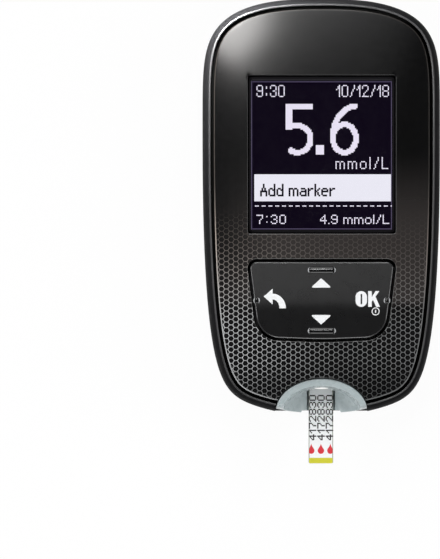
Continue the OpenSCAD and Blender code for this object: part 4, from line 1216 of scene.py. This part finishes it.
def picture():
    w, h = 27.1, 29.1
    bars("display ground", [(-w / 2, WINDOW_Y - h / 2, w / 2, WINDOW_Y + h / 2)], "ground", 16.805, INK_LOW)
    x0, x1 = -WINDOW[0] / 2 + 0.68, WINDOW[0] / 2 - 0.68
    y0, y1 = WINDOW_Y - WINDOW[1] / 2 + 0.85, WINDOW_Y + WINDOW[1] / 2 - 1.08
    t = 0.17
    bars("display frame line", [(x0, y0, x1, y0 + t), (x0, y1 - t, x1, y1), (x0, y0, x0 + t, y1),
                                (x1 - t, y0, x1, y1)], "line")
    spots = big_figure(FIVE, [(0, 0, 20, 4), (0, 0, 5, 19)], across(285.3), down(103.9))
    spots += big_figure(SIX, [], across(330), down(103.9))
    spots += [(across(315.5) + (i + 0.5) * DOT, down(154.6) + (j + 0.5) * DOT)
              for i in range(6) for j in range(7)]
    dots("display figures", spots, "figure")
    spots = small_word("9:30", across(256), down(84.9))
    spots += small_word("10/12/18", across(388.7) - word_width("10/12/18"), down(84.9))
    spots += small_word("mmol/L", across(388) - word_width("mmol/L", 2), down(157), 2)
    spots += [(across(254.5) + (i * 5 + k + 0.5) * DOT, down(206))
              for i in range(21) for k in range(3 if i < 20 else 1)]
    spots += small_word("7:30", across(256), down(214.6), 1.3, tall=range(7))
    spots += small_word("4.9 mmol/L", across(389) - word_width("4.9 mmol/L"), down(214.6), tall=range(7))
    dots("display words", spots, "word", size=DOT * 0.73)
    left, right, top, low = across(254), across(391.5), down(174.3), down(201.3)
    bars("display bar", [(left, low, right, top)], "bar", INK_LOW, INK_MID)
    dots("display bar word", small_word("Add marker", across(260), down(184)), "ground", INK_MID, INK_TOP,
         DOT * 1.35)


# ---- floor, camera and lamps ----

# Each lamp's name, place in metres, power in watts and width in metres
STUDIO_LAMPS = (
    ("left softbox", (-1.335, 0.147, 1.043), 10.9, 1.1),
    ("right softbox", (1.336, 0.073, 1.044), 9.6, 1.1),
    ("top softbox", (-0.055, 1.339, 1.046), 11.6, 1.1),
    ("front softbox", (0.0, -1.4, 0.95), 11.0, 1.1),
    ("upper left lamp", (-0.199, 0.465, 1.623), 1.9, 0.1),
    ("upper lamp", (0, 0.637, 1.576), 1.6, 0.1),
)
PLATE_CORNER = Vector((-0.0196, 0.0428, 0.019))


def floor():
    bm = bmesh.new()
    bmesh.ops.create_grid(bm, x_segments=1, y_segments=1, size=3.0)
    bmesh.ops.translate(bm, verts=bm.verts, vec=(0, 0, -0.0002))
    thing = piece("floor", bm)
    f = Finish("pale floor")
    f.set(Base_Color=f.mix(f.noise(3, 2), rgb(246, 246, 246), rgb(250, 250, 250)), Roughness=0.9)
    light = f.node("ShaderNodeLightPath")
    seen = f.sum("MAXIMUM", light.outputs["Is Camera Ray"],
                 f.sum("MAXIMUM", light.outputs["Is Glossy Ray"], light.outputs["Is Transmission Ray"]))
    shine = f.node("ShaderNodeEmission")
    shine.inputs["Strength"].default_value = 1.0
    blend = f.node("ShaderNodeMixShader")
    f.fill(blend.inputs, (f.sum("MULTIPLY", seen, 0.95), f.shader.outputs[0], shine.outputs[0]))
    f.show(blend.outputs[0])
    thing.data.materials.append(f.material)


def lamp(name, place, aim, strength, size, colour=(1, 1, 1)):
    """A round lamp; its size is its width in metres."""
    light = bpy.data.lights.new(name, "AREA")
    light.energy = strength
    light.color = colour
    light.shape = "DISK"
    light.size = size
    thing = bpy.data.objects.new(name, light)
    thing.location = place
    thing.rotation_euler = (Vector(aim) - Vector(place)).to_track_quat("-Z", "Y").to_euler()
    bpy.context.scene.collection.objects.link(thing)
    return thing


def light_only(thing, *names):
    """Keeps a near lamp off every piece but the named ones."""
    lit = bpy.data.collections.new("lit by the " + thing.name)
    for name in names:
        lit.objects.link(bpy.data.objects[name])
    thing.light_linking.receiver_collection = lit


def camera():
    lens = bpy.data.cameras.new("camera")
    lens.sensor_fit = "AUTO"
    lens.sensor_width = 36
    lens.lens = 331.7
    lens.clip_start, lens.clip_end = 0.05, 20
    thing = bpy.data.objects.new("camera", lens)
    thing.location = (-0.0196, -0.00928, 1.011)
    bpy.context.scene.collection.objects.link(thing)
    bpy.context.scene.camera = thing


def sky():
    world = bpy.data.worlds.new("studio")
    bpy.context.scene.world = world
    world.use_nodes = True
    tree = world.node_tree
    back = tree.nodes["Background"]
    place = tree.nodes.new("ShaderNodeTexCoord")
    split = tree.nodes.new("ShaderNodeSeparateXYZ")
    ramp = tree.nodes.new("ShaderNodeMapRange")
    for title, value in (("From Min", 0.0), ("From Max", 1.0), ("To Min", 0.3), ("To Max", 0.0)):
        ramp.inputs[title].default_value = value
    tree.links.new(place.outputs["Generated"], split.inputs[0])
    tree.links.new(split.outputs["Z"], ramp.inputs["Value"])
    tree.links.new(ramp.outputs[0], back.inputs["Color"])
    back.inputs["Strength"].default_value = 1.0


for part in frame["record"]["subparts"]:
    node = frame["nodes"][part["node"]]
    node.data.materials.clear()
    node.data.materials.append(finish_of[part["material_slot"]])

front_shell()
back_shell()
face_panel()
window_pane()
key_pad_top()
pips()
pad_symbols()
port_bezel()
port_lamp()
strip()
ejector_button()
battery_door()
picture()
floor()
camera()
sky()
for title, place, strength, width in STUDIO_LAMPS:
    lamp(title, place, (0, 0, 0), strength, width)
near = lamp("corner lamp", PLATE_CORNER + Vector((-0.006, 0.0096, 0.0487)), PLATE_CORNER, 0.027, 0.028,
            (1.0, 0.98, 0.96))
light_only(near, "face_panel", "front_shell")
near = lamp("rim lamp", PLATE_CORNER + Vector((-0.004, 0.007, 0.017)), PLATE_CORNER, 0.09, 0.012)
light_only(near, "front_shell")

scene = bpy.context.scene
scene.view_settings.view_transform = "Standard"
